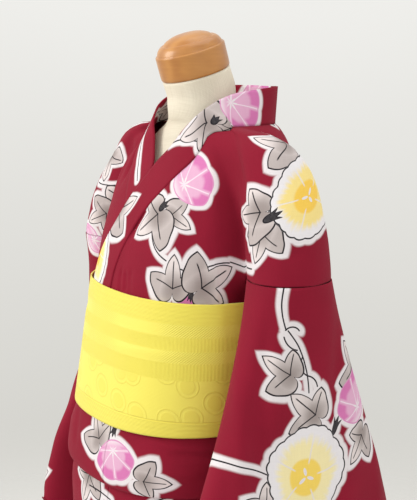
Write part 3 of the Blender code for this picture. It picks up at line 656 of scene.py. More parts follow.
def printedCotton(name, marks, origin=(0.0, 0.0), clear=(9.0, 9.0, 9.0)):
    made, tree, shader, cloth = startMaterial(name)
    drift = add(tree, "ShaderNodeTexNoise", {"Vector": cloth, "Scale": 28.0, "Detail": 1.0}).outputs["Color"]
    drift = add(tree, "ShaderNodeVectorMath", {0: drift, 1: (0.5, 0.5, 0.5)}, operation="SUBTRACT").outputs[0]
    drift = add(tree, "ShaderNodeVectorMath", {0: drift, "Scale": printed["wobble"]}, operation="SCALE").outputs[0]
    drawn = add(tree, "ShaderNodeVectorMath", {0: cloth, 1: drift}, operation="ADD").outputs[0]
    around = repeatPlace(tree, cloth, origin, clear)
    around = add(tree, "ShaderNodeVectorMath", {0: around, 1: drift}, operation="ADD").outputs[0]
    state = layMarks(tree, drawn, {"Colour": white, "Cover": 0.0, "Near": 1.0}, marks)
    state = layMarks(tree, around, state, repeatMarks)
    threads = add(tree, "ShaderNodeGroup", {}, node_tree=weave)
    tree.links.new(cloth, threads.inputs["Cloth"])
    dye = noise(tree, cloth, 9.0, 3.0)
    ground = mix(tree, dye, printed["groundDeep"], printed["ground"])
    halo = step(tree, state["Near"], printed["halo"] + printed["haloSoft"], printed["halo"])
    ground = mix(tree, halo, ground, white)
    ground = mix(tree, state["Cover"], ground, state["Colour"])
    value = plus(tree, times(tree, threads.outputs["Shade"], 0.16), 0.92)
    shaded = add(tree, "ShaderNodeHueSaturation", {"Value": value, "Color": ground}).outputs[0]
    tree.links.new(shaded, shader.inputs["Base Color"])
    rough = plus(tree, times(tree, threads.outputs["Shade"], 0.12), printed["rough"])
    tree.links.new(rough, shader.inputs["Roughness"])
    shader.inputs["Specular IOR Level"].default_value = 0.15
    shader.inputs["Sheen Weight"].default_value = printed["sheen"]
    shader.inputs["Sheen Roughness"].default_value = 0.5
    addBump(tree, shader, threads.outputs["Height"], 0.35, 0.0004)
    return made


yellowFlower = ((0.83, 0.54, 0.09, 1.0), (0.83, 0.66, 0.25, 1.0))
creamFlower = ((0.83, 0.60, 0.12, 1.0), (0.82, 0.72, 0.40, 1.0))

repeatMarks = (
    ("vine", 0.060, 0.130, -5.0, 0.100, 58.0),
    ("vine", 0.182, 0.276, 165.0, 0.090, 65.0),
    ("vine", 0.190, 0.050, 85.0, 0.100, 16.0),
    ("leaf", 0.085, 0.052, 200.0, 0.042),
    ("leaf", 0.185, 0.098, -25.0, 0.038),
    ("leaf", 0.095, 0.240, 150.0, 0.045),
    ("leaf", 0.125, 0.345, 165.0, 0.038),
    ("trumpet", 0.250, 0.180, 35.0, 0.042),
    ("calyx", 0.213, 0.152, 35.0, 0.020),
    ("open", 0.220, 0.342, 20.0, 0.048, *creamFlower),
)
bodiceLeftMarks = (
    ("vine", -0.057, 1.214, -140.0, 0.046, 30.0),
    ("vine", -0.036, 1.203, -87.0, 0.044, 30.0),
    ("vine", 0.022, 1.048, 99.0, 0.123, 7.0),
    ("vine", 0.056, 1.470, -90.0, 0.300, 7.0),
    ("trumpet", -0.026, 1.087, 95.0, 0.042),
    ("calyx", -0.036, 1.134, -90.0, 0.014),
    ("leaf", -0.062, 1.136, 88.0, 0.044),
    ("leaf", -0.022, 1.138, 33.0, 0.052),
    ("leaf", -0.069, 1.231, -31.0, 0.036),
    ("leaf", -0.093, 1.231, -145.0, 0.055),
    ("trumpet", -0.049, 1.274, 25.0, 0.048),
    ("calyx", -0.089, 1.238, 39.0, 0.018),
    ("leaf", 0.132, 1.344, 165.0, 0.056),
    ("vine", 0.139, 1.241, 149.0, 0.030, 40.0),
    ("leaf", 0.108, 1.219, -102.0, 0.040),
    ("leaf", 0.098, 1.245, -168.0, 0.050),
    ("open", 0.157, 1.266, 15.0, 0.056, *yellowFlower),
    ("calyx", 0.108, 1.236, 35.0, 0.022),
)
bodiceRightMarks = (
    ("vine", 0.060, 1.630, -92.0, 0.390, 7.0),
    ("vine", 0.000, 1.300, 25.0, 0.100, 30.0),
    ("leaf", 0.035, 1.215, 100.0, 0.055),
    ("leaf", 0.066, 1.194, -27.0, 0.042),
    ("leaf", 0.085, 1.290, -100.0, 0.045),
    ("trumpet", 0.095, 1.150, -40.0, 0.042),
)
collarMarks = (
    ("vine", 0.307, -0.016, 149.0, 0.093, 27.0),
    ("leaf", 0.172, 0.002, -11.0, 0.036),
    ("leaf", 0.194, 0.017, 35.0, 0.054),
    ("trumpet", 0.151, 0.033, -165.0, 0.044),
    ("calyx", 0.187, 0.013, 139.0, 0.016),
    ("leaf", 0.380, 0.066, -152.0, 0.052),
    ("open", 0.452, 0.074, -150.0, 0.042, *yellowFlower),
    ("calyx", 0.403, 0.074, -168.0, 0.016),
    ("vine", -0.230, 0.320, -90.0, 0.300, 14.0),
    ("leaf", -0.155, 0.020, 170.0, 0.024),
    ("trumpet", -0.030, 0.030, 10.0, 0.036),
    ("leaf", -0.390, 0.045, 20.0, 0.044),
)
sleeveLeftMarks = (
    ("vine", 0.055, 1.130, 180.0, 0.098, 15.0),
    ("vine", -0.152, 1.020, 19.0, 0.142, 17.0),
    ("vine", -0.032, 1.097, 85.0, 0.011, 53.0),
    ("vine", -0.024, 1.098, -136.0, 0.019, 37.0),
    ("vine", -0.005, 1.062, -161.0, 0.017, 51.0),
    ("vine", -0.017, 1.027, 42.0, 0.020, 30.0),
    ("vine", -0.117, 0.825, 87.0, 0.114, 32.0),
    ("leaf", -0.036, 1.050, 148.0, 0.041),
    ("leaf", 0.000, 0.996, 140.0, 0.047),
    ("leaf", 0.089, 0.945, -134.0, 0.040),
    ("leaf", 0.090, 1.033, 125.0, 0.050),
    ("leaf", -0.070, 0.885, 88.0, 0.034),
    ("trumpet", 0.083, 0.983, 108.0, 0.044),
    ("calyx", 0.034, 0.966, 60.0, 0.020),
    ("open", -0.014, 0.920, 40.0, 0.062, *creamFlower),
)
sleeveRightMarks = (
    ("vine", -0.110, 0.640, 80.0, 0.110, 35.0),
    ("leaf", -0.145, 0.735, 150.0, 0.042),
    ("leaf", -0.070, 0.735, 40.0, 0.038),
    ("trumpet", -0.095, 1.148, 140.0, 0.042),
)
waistMarks = (
    ("vine", -0.194, 1.091, -86.0, 0.139, 6.0),
    ("vine", -0.213, 0.800, 90.0, 0.085, 10.0),
    ("leaf", -0.242, 0.918, 125.0, 0.042),
    ("leaf", -0.162, 0.882, 0.0, 0.034),
    ("trumpet", -0.210, 0.911, -75.0, 0.037),
    ("calyx", -0.215, 0.944, -95.0, 0.016),
)
skirtMarks = (
    ("leaf", -0.272, 0.858, -104.0, 0.045),
    ("vine", -0.250, 0.700, 87.0, 0.145, 10.0),
    ("vine", -0.130, 0.830, 130.0, 0.032, 30.0),
)
bodiceLeftPrint = printedCotton("bodiceLeftPrint", bodiceLeftMarks, (0.21, 0.93), (-9.0, 0.21, 0.0))
bodiceRightPrint = printedCotton("bodiceRightPrint", bodiceRightMarks, (0.15, 0.85), (-9.0, 0.15, 0.0))
collarPrint = printedCotton("collarPrint", collarMarks, (0.0, 0.0), (-9.0, 9.0, -9.0))
sleeveLeftPrint = printedCotton("sleeveLeftPrint", sleeveLeftMarks, (0.14, 0.322), (-0.18, 0.14, 0.87))
sleeveRightPrint = printedCotton("sleeveRightPrint", sleeveRightMarks, (0.02, 0.112), (-9.0, 0.10, 0.80))
waistPrint = printedCotton("waistPrint", waistMarks, (0.0, 0.62), (-9.0, 0.0, 0.0))
skirtPrint = printedCotton("skirtPrint", skirtMarks, (-0.32, 0.03), (-9.0, 9.0, 0.83))

seams = {
    "cloth": 0.0012,
    "collarCloth": 0.0024,
    "overlapLift": 0.0034,    # the left front lies this far outside the right one
    "liftFrom": -30.0,
    "liftFull": -54.0,
    "rightForward": 0.013,    # the right shoulder's drop hangs this much nearer the front
    "bodiceLow": 1.045,
    "underArm": 1.147,
}


def frontLift(degrees):
    return seams["overlapLift"] * softStep(-degrees, -seams["liftFrom"], -seams["liftFull"])


# The collar from the middle of the back to the belt, a row for each place along one half.
# Columns: angle and height of its seam; angle, radius and height of its free edge; how far it lies on the chest
collar = {
    "rows": (
        (90.0, 1.336, 90.0, 0.1200, 1.3860, 0.0),
        (62.0, 1.336, 65.0, 0.1100, 1.3870, 0.0),
        (32.0, 1.336, 38.0, 0.0860, 1.3840, 0.0),
        (0.0, 1.336, 5.0, 0.0665, 1.3760, 0.0),
        (-18.5, 1.331, -20.0, 0.0660, 1.3620, 0.0),
        (-36.0, 1.294, -44.0, 0.0640, 1.3380, 0.1),
        (-54.0, 1.263, -66.0, 0.0650, 1.3090, 0.7),
        (-72.0, 1.228, -86.0, 0.0700, 1.2840, 1.0),
        (-83.0, 1.192, -99.0, 0.0900, 1.2460, 1.0),
        (-89.0, 1.163, -108.0, 0.1200, 1.2020, 1.0),
        (-92.0, 1.135, -116.0, 0.1400, 1.1660, 1.0),
        (-93.0, 1.100, -121.0, 0.1400, 1.1250, 1.0),
        (-94.0, 1.050, -124.0, 0.1400, 1.0600, 1.0),
    ),
    "steps": 230,
    "across": 14,
}
collarTable = np.column_stack((np.linspace(0.0, 1.0, len(collar["rows"])), np.array(collar["rows"])))


def collarLine(along, across, left):
    angle, height, edgeAngle, edgeRadius, edgeHeight, lies = np.moveaxis(readTable(collarTable, along), -1, 0)[1:]
    lift = frontLift(angle) if left else 0.0
    seam = wornSurface(stationOf(angle), height, lift)[0]
    turn = np.radians(edgeAngle)
    edge = np.stack((edgeRadius * np.cos(turn), edgeRadius * np.sin(turn), edgeHeight), -1)
    straight = seam + (edge - seam) * across[..., None]
    degrees = angle + (edgeAngle - angle) * across
    z = height + (edgeHeight - height) * across
    onChest = wornSurface(stationOf(degrees), np.minimum(z, worn["neckZ"]), lift)[0]
    onChest[..., 2] = z
    return straight + (onChest - straight) * lies[..., None]


def collarHalf(left):
    places = (np.linspace(0.0, 1.0, collar[key]) for key in ("steps", "across"))
    along, across = np.meshgrid(*places, indexing="ij")
    grid = collarLine(along, across, left)
    grid[0, :, 0] = 0.0
    return grid


def makeCollar(surface):
    left = collarHalf(True)
    right = mirrored(collarHalf(False))
    grid = np.concatenate((left[::-1], right[1:]))
    outward = grid * np.array((1.0, 1.0, 0.0)) + np.array((0.0, 0.0, 0.05))
    u = -arcs(grid, 0, collar["steps"] - 1)
    v = arcs(grid, 1, 0)
    outer = pushed(grid, outward, np.full(u.shape, seams["collarCloth"]))
    return clothPiece("collarBand", outer, np.stack((u, v), -1), seams["collarCloth"], outward, surface)


bodice = {
    "frontColumns": 70,
    "sideColumns": 110,
    "backColumns": 56,
    "upperRows": 96,
    "lowerRows": 36,
    "slit": 0.35,             # the open side under the arm, in stations each way
    "bridge": 1.25,           # the fold beside the arm runs on down to the belt this far round
}


def bodiceGrid(left):
    front = np.linspace(-94.0, worn["frontAngles"][-1], bodice["frontColumns"])
    side = np.linspace(worn["frontAngles"][-1], worn["backAngles"][0], bodice["sideColumns"])[1:-1]
    back = np.linspace(worn["backAngles"][0], 89.95, bodice["backColumns"])
    angles = np.concatenate((front, side, back))
    place = stationOf(angles)
    upper = np.linspace(worn["neckZ"], worn["armZ"] + 0.0002, bodice["upperRows"])
    lower = np.linspace(seams["underArm"], seams["bodiceLow"], bodice["lowerRows"])
    heights = np.concatenate((upper, lower))
    seamAt = readTable(collarTable, np.linspace(1.0, 0.0, 400))
    top = np.interp(angles, seamAt[:, 1], seamAt[:, 2])
    foot = np.where(place >= chestEdge, upper[-1], seams["bodiceLow"])
    squeeze = (top - foot) / (worn["neckZ"] - foot)
    z = np.where(heights[:, None] > foot, foot + (heights[:, None] - foot) * squeeze, heights[:, None])
    inSide = np.minimum(softStep(place, chestEdge + 0.9, chestEdge + 1.7),
                        softStep(-place, -backEdge + 0.9, -backEdge + 1.7))
    under = softStep(z, worn["beltTopZ"], worn["armZ"]) * (1.0 - inSide)
    falls = np.where(np.arange(len(heights))[:, None] < bodice["upperRows"], 1.0, under)
    lift = frontLift(angles) if left else 0.0 * angles
    forward = 0.0 if left else seams["rightForward"]
    points, outward = wornSurface(place[None, :] + 0.0 * z, z, lift[None, :] + 0.0 * z, falls, 1.0, forward)
    outer = points + outward * seams["cloth"]
    centre = 0.5 * (place[1:] + place[:-1])
    keep = np.ones((len(heights) - 1, len(place) - 1), bool)
    drop = (centre > chestEdge + bodice["bridge"]) & (centre < backEdge - bodice["bridge"])
    keep[bodice["upperRows"] - 1, drop] = False
    keep[bodice["upperRows"] - 1:, np.abs(centre - 0.5 * (chestEdge + backEdge)) < bodice["slit"]] = False
    chestColumn = int(np.argmin(np.abs(place - chestEdge)))
    u = arcs(outer, 1, chestColumn)
    atBack = u[:, int(np.argmin(np.abs(place - backEdge)))]
    u = u + softStep(place, 0.5 * (chestEdge + backEdge), backEdge) * (np.mean(atBack) - atBack)[:, None]
    rise = np.linalg.norm(np.diff(outer, axis=0), axis=2)
    rise[bodice["upperRows"] - 1] = -np.diff(z, axis=0)[bodice["upperRows"] - 1]
    v = seams["bodiceLow"] + np.concatenate((np.cumsum(rise[::-1], axis=0)[::-1], np.zeros((1, len(place)))))
    return outer, outward, u, v, keep


def makeBodice(name, left, creases, surface):
    outer, outward, u, v, keep = bodiceGrid(left)
    outer = pushed(outer, outward, creaseDepth(u, v, creases))
    if not left:
        outer = mirrored(outer)
        outward = mirrored(outward)
    return clothPiece(name, outer, np.stack((u, v), -1), seams["cloth"], outward, surface, keep)


# Columns: drop below the armhole, out, half across, half front to back, middle of the left and the right, corner
sleeve = {
    "rows": (
        (0.000, 0.212, 0.0480, 0.0520, 0.000, -0.013, 0.000),
        (0.055, 0.217, 0.0470, 0.0660, 0.000, 0.008, 0.000),
        (0.135, 0.224, 0.0455, 0.0910, -0.002, 0.030, 0.000),
        (0.205, 0.230, 0.0445, 0.1150, -0.005, 0.044, 0.000),
        (0.270, 0.235, 0.0440, 0.1400, -0.007, 0.044, 0.000),
        (0.345, 0.238, 0.0430, 0.1600, -0.008, 0.036, 0.000),
        (0.425, 0.239, 0.0415, 0.1690, -0.008, 0.027, 0.006),
        (0.482, 0.239, 0.0390, 0.1680, -0.008, 0.022, 0.055),
    ),
    "roundness": 2.15,
    "cornerPower": 5,
    "levels": 110,
    "sides": 201,
}


def makeSleeve(name, left, creases, surface):
    drop = np.linspace(0.0, sleeve["rows"][-1][0], sleeve["levels"])
    row = readTable(sleeve["rows"], drop)[:, None, :]
    angle = np.linspace(-math.pi, math.pi, sleeve["sides"])[None, :]
    c = np.cos(angle)
    s = np.sin(angle)
    power = 2.0 / sleeve["roundness"]
    x = row[..., 1] + (row[..., 2] + seams["cloth"]) * np.sign(c) * np.abs(c) ** power
    middle = row[..., 4] if left else row[..., 5]
    y = middle + (row[..., 3] + seams["cloth"]) * np.sign(s) * np.abs(s) ** power
    z = worn["armZ"] - row[..., 0] + row[..., 6] * np.abs(s) ** sleeve["cornerPower"]
    grid = np.stack((x, y, z), -1)
    outward = np.stack((c + 0.0 * z, s + 0.0 * z, 0.0 * z), -1)
    u = arcs(grid, 1, sleeve["sides"] // 2)
    v = worn["armZ"] - arcs(grid, 0, 0)
    grid = pushed(grid, outward, creaseDepth(u, v, creases), True)
    if not left:
        grid = mirrored(grid)
        outward = mirrored(outward)
    return clothPiece(name, grid, np.stack((u, v), -1), seams["cloth"], outward, surface, None, True)


# The waist fold under the belt: down its outside, round, and up its inside.
# Columns: place, height, lift off the body, which way its thickness goes: out and up
waistFold = {
    "rows": (
        (0.0, 1.0380, 0.0008, 1.0, 0.0),
        (1.0, 0.9500, 0.0022, 1.0, 0.0),
        (2.0, 0.9300, 0.0052, 1.0, 0.0),
        (3.0, 0.9050, 0.0088, 1.0, 0.0),
        (4.0, 0.8800, 0.0088, 1.0, 0.0),
        (5.0, 0.8700, 0.0080, 0.9, -0.4),
        (6.0, 0.8655, 0.0058, 0.0, -1.0),
        (7.0, 0.8700, 0.0036, -0.9, -0.4),
        (8.0, 0.8820, 0.0030, -1.0, 0.0),
        (9.0, 0.9250, 0.0026, -1.0, 0.0),
    ),
    "steps": 70,
    "gap": 0.0002,
}


def spanDegrees(start, end, cell):
    count = max(int(abs(end - start) / cell), 8)
    gap = math.degrees(waistFold["gap"] / 0.17) * math.copysign(1.0, end - start)
    return np.linspace(start + gap, end - gap, count + 1)


def makeFold(name, start, end, creases, surface):
    degrees = spanDegrees(start, end, 0.9)[None, :]
    row = readTable(waistFold["rows"], np.linspace(0.0, 9.0, waistFold["steps"]))[:, None, :]
    flat = np.zeros((waistFold["steps"], degrees.shape[1]))
    points, normal = aroundSurface(degrees + flat, row[..., 1] + flat, row[..., 2] + flat)
    away = normal * row[..., 3:4] + np.array((0.0, 0.0, 1.0)) * row[..., 4:5]
    away /= np.linalg.norm(away, axis=2, keepdims=True)
    grid = points + away * seams["cloth"]
    u = math.radians(1.0) * 0.17 * (degrees + flat)
    v = row[0, :, 1] - arcs(grid, 0, 0)
    inFront = softStep(-row[..., 0], -6.2, -5.2)
    outside = normal + 0.0
    grid = grid + outside * (creaseDepth(u, v, creases) * inFront)[..., None]
    return clothPiece(name, grid, np.stack((u, v), -1), seams["cloth"], away, surface)


skirt = {
    "top": 0.995,
    "hem": 0.090,
    "ride": 0.0030,
    "tuck": 0.0062,
    "tuckTop": 0.880,
    "tuckLow": 0.820,
    "rideFrom": 12.0,
    "rideTo": 45.0,
    "levels": 120,
}
# Where the panels meet, degrees round the body from the wearer's left; the front is -90
panelSeams = {"side": -1.0, "okumi": -75.0, "okumiEdge": -120.0, "foldEdge": -128.0}


def makeSkirt(name, start, end, over, creases, surface):
    degrees = spanDegrees(start, end, 1.1)[None, :]
    height = np.linspace(skirt["top"], skirt["hem"], skirt["levels"])[:, None]
    tuck = skirt["tuck"] * softStep(height, skirt["tuckLow"], skirt["tuckTop"])
    ride = skirt["ride"] * softStep(-degrees, skirt["rideFrom"], skirt["rideTo"]) if over else 0.0
    points, normal = aroundSurface(degrees + 0.0 * height, height + 0.0 * degrees, ride - tuck)
    grid = points + normal * seams["cloth"]
    u = math.radians(1.0) * 0.17 * (degrees + 0.0 * height)
    v = skirt["top"] - arcs(grid, 0, 0)
    free = softStep(-height, -0.87, -0.70)
    grid = grid + normal * (creaseDepth(u, v, creases) * free)[..., None]
    return clothPiece(name, grid, np.stack((u, v), -1), seams["cloth"], normal, surface)


belt = {
    "lift": 0.0066,
    "endLift": 0.0034,
    "cloth": 0.0024,
    "start": 78.0,
    "turn": 392.0,
    "riseFrom": 318.0,
    "riseTo": 356.0,
    "columns": 420,
    "rows": 70,
}


def makeBelt(creases, surface):
    swept = np.linspace(0.0, belt["turn"], belt["columns"])[None, :]
    height = np.linspace(worn["beltTopZ"], worn["beltLowZ"], belt["rows"])[:, None]
    lift = belt["lift"] + belt["endLift"] * softStep(swept, belt["riseFrom"], belt["riseTo"])
    points, normal = aroundSurface(belt["start"] - swept + 0.0 * height, height + 0.0 * swept, lift + 0.0 * height)
    grid = points + normal * belt["cloth"]
    u = arcs(grid, 1, 0)
    v = worn["beltTopZ"] - arcs(grid, 0, 0)
    grid = grid + normal * creaseDepth(u, v, creases)[..., None]
    return clothPiece("beltWound", grid, np.stack((u, v), -1), belt["cloth"], normal, surface)


# The dress form. Columns: height, half-width, front, back, shift of the middle, tilt in degrees
form = {
    "rows": (
        (0.690, 0.142, 0.138, 0.110, 0.000, 0.0),
        (0.700, 0.150, 0.146, 0.118, 0.000, 0.0),
        (0.760, 0.156, 0.158, 0.127, 0.000, 0.0),
        (0.840, 0.152, 0.160, 0.125, 0.000, 0.0),
        (0.920, 0.144, 0.150, 0.118, 0.000, 0.0),
        (1.010, 0.140, 0.136, 0.115, 0.000, 0.0),
        (1.100, 0.141, 0.120, 0.115, 0.000, 0.0),
        (1.160, 0.142, 0.110, 0.116, 0.000, 0.0),
        (1.205, 0.142, 0.096, 0.115, 0.000, 0.0),
        (1.245, 0.138, 0.078, 0.110, 0.000, 0.0),
        (1.275, 0.130, 0.061, 0.103, 0.000, 0.0),
        (1.298, 0.120, 0.050, 0.095, 0.000, 0.0),
        (1.314, 0.100, 0.044, 0.084, 0.000, 0.0),
        (1.325, 0.080, 0.040, 0.073, 0.000, 0.0),
        (1.336, 0.064, 0.038, 0.060, 0.003, 1.0),
        (1.352, 0.051, 0.044, 0.050, 0.006, 6.0),
        (1.376, 0.0475, 0.0475, 0.0475, 0.006, 12.0),
        (1.405, 0.0470, 0.0470, 0.0470, -0.003, 17.0),
    ),
    "roundness": 2.05,
    "sides": 121,
    "levels": 200,
    "capFoot": (0.0, -0.0031, 1.4054),
    "capTilt": 17.0,
}


def closedRings(name, rings, surface):
    # a solid through rings of points, closed at both ends by shrinking to a point
    first = np.repeat(rings[:1].mean(axis=1, keepdims=True), rings.shape[1], axis=1)
    last = np.repeat(rings[-1:].mean(axis=1, keepdims=True), rings.shape[1], axis=1)
    grid = np.concatenate((first, rings, last))
    rows, columns = grid.shape[:2]
    r, c = np.meshgrid(np.arange(rows - 1), np.arange(columns - 1), indexing="ij")
    r, c = r.ravel(), c.ravel()
    quads = np.stack((r * columns + c, r * columns + c + 1, (r + 1) * columns + c + 1, (r + 1) * columns + c), 1)
    u = arcs(grid, 1, 0)
    v = arcs(grid, 0, 0)
    flat = np.stack((u, v), -1).reshape(-1, 2)
    uvs = flat[quads]
    quads = np.where(quads % columns == columns - 1, quads - (columns - 1), quads)
    return mesh(name, grid.reshape(-1, 3), quads, uvs, surface)


def makeForm(surface):
    height = np.linspace(form["rows"][0][0], form["rows"][-1][0], form["levels"])
    row = readTable(form["rows"], height)[:, None, :]
    angle = np.linspace(0.0, 2.0 * math.pi, form["sides"])[None, :]
    depth = np.where(np.sin(angle) < 0.0, row[..., 2], row[..., 3])
    radius = ovalRadius(angle, row[..., 1], depth, form["roundness"])
    tilt = np.radians(row[..., 5])
    y = radius * np.sin(angle)
    rings = np.stack((radius * np.cos(angle), row[..., 4] + y * np.cos(tilt), row[..., 0] + y * np.sin(tilt)), -1)
    return closedRings("formTorso", rings, surface)


def turnedRings(profile, sides):
    angle = np.linspace(0.0, 2.0 * math.pi, sides)[None, :]
    radius = np.array([r for r, z in profile])[:, None]
    z = np.array([z for r, z in profile])[:, None]
    return np.stack((radius * np.cos(angle), radius * np.sin(angle), z + 0.0 * angle), -1)


def softProfile(points, each):
    # rounds a turned profile a little by cutting its corners twice
    points = [np.array(point) for point in points]
    for again in range(each):
        cut = [points[0]]
        for one, two in zip(points, points[1:]):
            cut += [0.75 * one + 0.25 * two, 0.25 * one + 0.75 * two]
        points = cut + [points[-1]]
    return points


# The cap's profile: radius and rise, from its foot to the middle of its top
capProfile = ((0.0462, 0.0), (0.0478, 0.0012), (0.0485, 0.0040), (0.0485, 0.0316), (0.0483, 0.0332), (0.0474, 0.0342),
              (0.0466, 0.0339), (0.0460, 0.0346), (0.0454, 0.0366), (0.0425, 0.0421), (0.0374, 0.0460), (0.0356, 0.0456),
              (0.0343, 0.0466), (0.0300, 0.0503), (0.0200, 0.0542), (0.0100, 0.0555), (0.0030, 0.0557))


def makeCap(surface):
    rings = turnedRings(softProfile(capProfile, 2), 97)
    thing = closedRings("formNeckCap", rings, surface)
    tilt = math.radians(form["capTilt"])
    points = np.zeros(len(thing.data.vertices) * 3)
    thing.data.vertices.foreach_get("co", points)
    x, y, z = points.reshape(-1, 3).T
    foot = form["capFoot"]
    moved = np.stack((x + foot[0], y * math.cos(tilt) - z * math.sin(tilt) + foot[1],
                      y * math.sin(tilt) + z * math.cos(tilt) + foot[2]), -1)
    thing.data.vertices.foreach_set("co", moved.ravel())
    thing.data.update()
    return thing


def makePole(surface):
    profile = ((0.0155, 0.0183), (0.016, 0.0188), (0.016, 0.6892), (0.0155, 0.6897))
    return closedRings("formPole", turnedRings(profile, 49), surface)


def makePlate(surface):
    profile = ((0.184, 0.0), (0.185, 0.001), (0.185, 0.0135), (0.1838, 0.0163), (0.1812, 0.0178), (0.176, 0.018))
    return closedRings("formPlate", turnedRings(profile, 145), surface)


# The belt's cloth: ribbed and patterned in bands along its length
beltCloth = {
    "plain": (0.83, 0.720, 0.092, 1.0),
    "bright": (0.85, 0.750, 0.120, 1.0),
    "deep": (0.76, 0.635, 0.068, 1.0),
    # where each band starts, metres below the top edge, and its kind
    "bands": ((0.0, "rib"), (0.028, "hatch"), (0.044, "fine"), (0.062, "hatch"), (0.078, "fine"), (0.100, "figure"),
              (0.154, "line"), (0.1555, "rib")),
}


def bandMask(tree, down, kind):
    total = 0.0
    starts = [start for start, which in beltCloth["bands"]] + [0.2]
    for k, (start, which) in enumerate(beltCloth["bands"]):
        if which != kind:
            continue
        rise = step(tree, down, start - 0.0006, start + 0.0006)
        fall = step(tree, down, starts[k + 1] + 0.0006, starts[k + 1] - 0.0006)
        total = plus(tree, times(tree, rise, fall), total)
    return total


def makeBeltCloth():
    made, tree, shader, cloth = startMaterial("beltCloth")
    parts = add(tree, "ShaderNodeSeparateXYZ", {0: cloth}).outputs
    down = minus(tree, worn["beltTopZ"], parts[1])
    turns = 2.0 * math.pi
    rib = calc(tree, "SINE", times(tree, down, turns / 0.0017))
    wideRib = calc(tree, "SINE", times(tree, down, turns / 0.0070))
    fine = calc(tree, "SINE", times(tree, parts[0], turns / 0.0018))
    slant = plus(tree, parts[0], times(tree, down, -1.3))
    hatch = calc(tree, "SINE", times(tree, slant, turns / 0.0040))
    patchy = add(tree, "ShaderNodeMapping", {"Vector": cloth, "Scale": (7.0, 1.0, 1.0)}).outputs[0]
    patchy = step(tree, noise(tree, patchy, 1.0, 0.0), 0.42, 0.60)
    hatch = times(tree, hatch, plus(tree, times(tree, patchy, 0.85), 0.15))
    ribs = bandMask(tree, down, "rib")
    hatched = bandMask(tree, down, "hatch")
    fines = bandMask(tree, down, "fine")
    figured = bandMask(tree, down, "figure")
    line = bandMask(tree, down, "line")
    # the figured band: flowers inside rings, woven in the same yellow
    cells = add(tree, "ShaderNodeTexVoronoi", {"Vector": cloth, "Scale": 26.0, "Randomness": 0.75},
                voronoi_dimensions="2D")
    away = cells.outputs["Distance"]
    off = add(tree, "ShaderNodeVectorMath", {0: cloth, "Scale": 26.0}, operation="SCALE").outputs[0]
    off = add(tree, "ShaderNodeVectorMath", {0: off, 1: cells.outputs["Position"]}, operation="SUBTRACT").outputs[0]
    offParts = add(tree, "ShaderNodeSeparateXYZ", {0: off}).outputs
    angle = calc(tree, "ARCTAN2", offParts[1], offParts[0])
    petals = plus(tree, times(tree, calc(tree, "COSINE", times(tree, angle, 5.0)), 0.06), 0.20)
    flower = step(tree, minus(tree, away, petals), 0.03, -0.02)
    ring = lineMask(tree, minus(tree, away, 0.38), 0.035)
    figure = calc(tree, "MAXIMUM", times(tree, flower, 0.8), ring)
    height = times(tree, rib, plus(tree, times(tree, ribs, 0.5), 0.15))
    height = plus(tree, height, times(tree, times(tree, wideRib, ribs), 0.35))
    height = plus(tree, height, times(tree, times(tree, fine, fines), 0.7))
    height = plus(tree, height, times(tree, times(tree, hatch, hatched), 0.9))
    height = plus(tree, height, times(tree, times(tree, figure, figured), 1.6))
    height = plus(tree, height, times(tree, line, -1.5))
    bright = plus(tree, times(tree, hatched, 0.8), times(tree, figured, 0.6))
    colour = mix(tree, bright, beltCloth["plain"], beltCloth["bright"])
    marks = times(tree, step(tree, hatch, -0.2, -0.9), times(tree, hatched, 0.45))
    marks = plus(tree, marks, times(tree, times(tree, figure, figured), 0.45))
    marks = plus(tree, marks, times(tree, fines, 0.10))
    marks = plus(tree, marks, times(tree, line, 0.8))
    colour = mix(tree, marks, colour, beltCloth["deep"])
    cloudy = noise(tree, cloth, 14.0, 2.0)
    value = plus(tree, times(tree, cloudy, 0.08), 0.96)
    colour = add(tree, "ShaderNodeHueSaturation", {"Value": value, "Color": colour}).outputs[0]
    tree.links.new(colour, shader.inputs["Base Color"])
    rough = plus(tree, times(tree, cloudy, 0.14), 0.50)
    tree.links.new(rough, shader.inputs["Roughness"])
    shader.inputs["Specular IOR Level"].default_value = 0.35
    shader.inputs["Sheen Weight"].default_value = 0.15
    addBump(tree, shader, height, 0.55, 0.0005)
    return made


def makeLinen():
    made, tree, shader, cloth = startMaterial("formLinen")
    threads = add(tree, "ShaderNodeGroup", {}, node_tree=weave)
    tree.links.new(cloth, threads.inputs["Cloth"])
    threads.inputs["Pitch"].default_value = 0.0009
    threads.inputs["Yarn"].default_value = 0.9
    colour = mix(tree, threads.outputs["Shade"], (0.58, 0.50, 0.37, 1.0), (0.84, 0.77, 0.63, 1.0))
    tree.links.new(colour, shader.inputs["Base Color"])
    rough = plus(tree, times(tree, threads.outputs["Shade"], 0.15), 0.75)
    tree.links.new(rough, shader.inputs["Roughness"])
    shader.inputs["Specular IOR Level"].default_value = 0.3
    addBump(tree, shader, threads.outputs["Height"], 0.5, 0.0006)
    return made


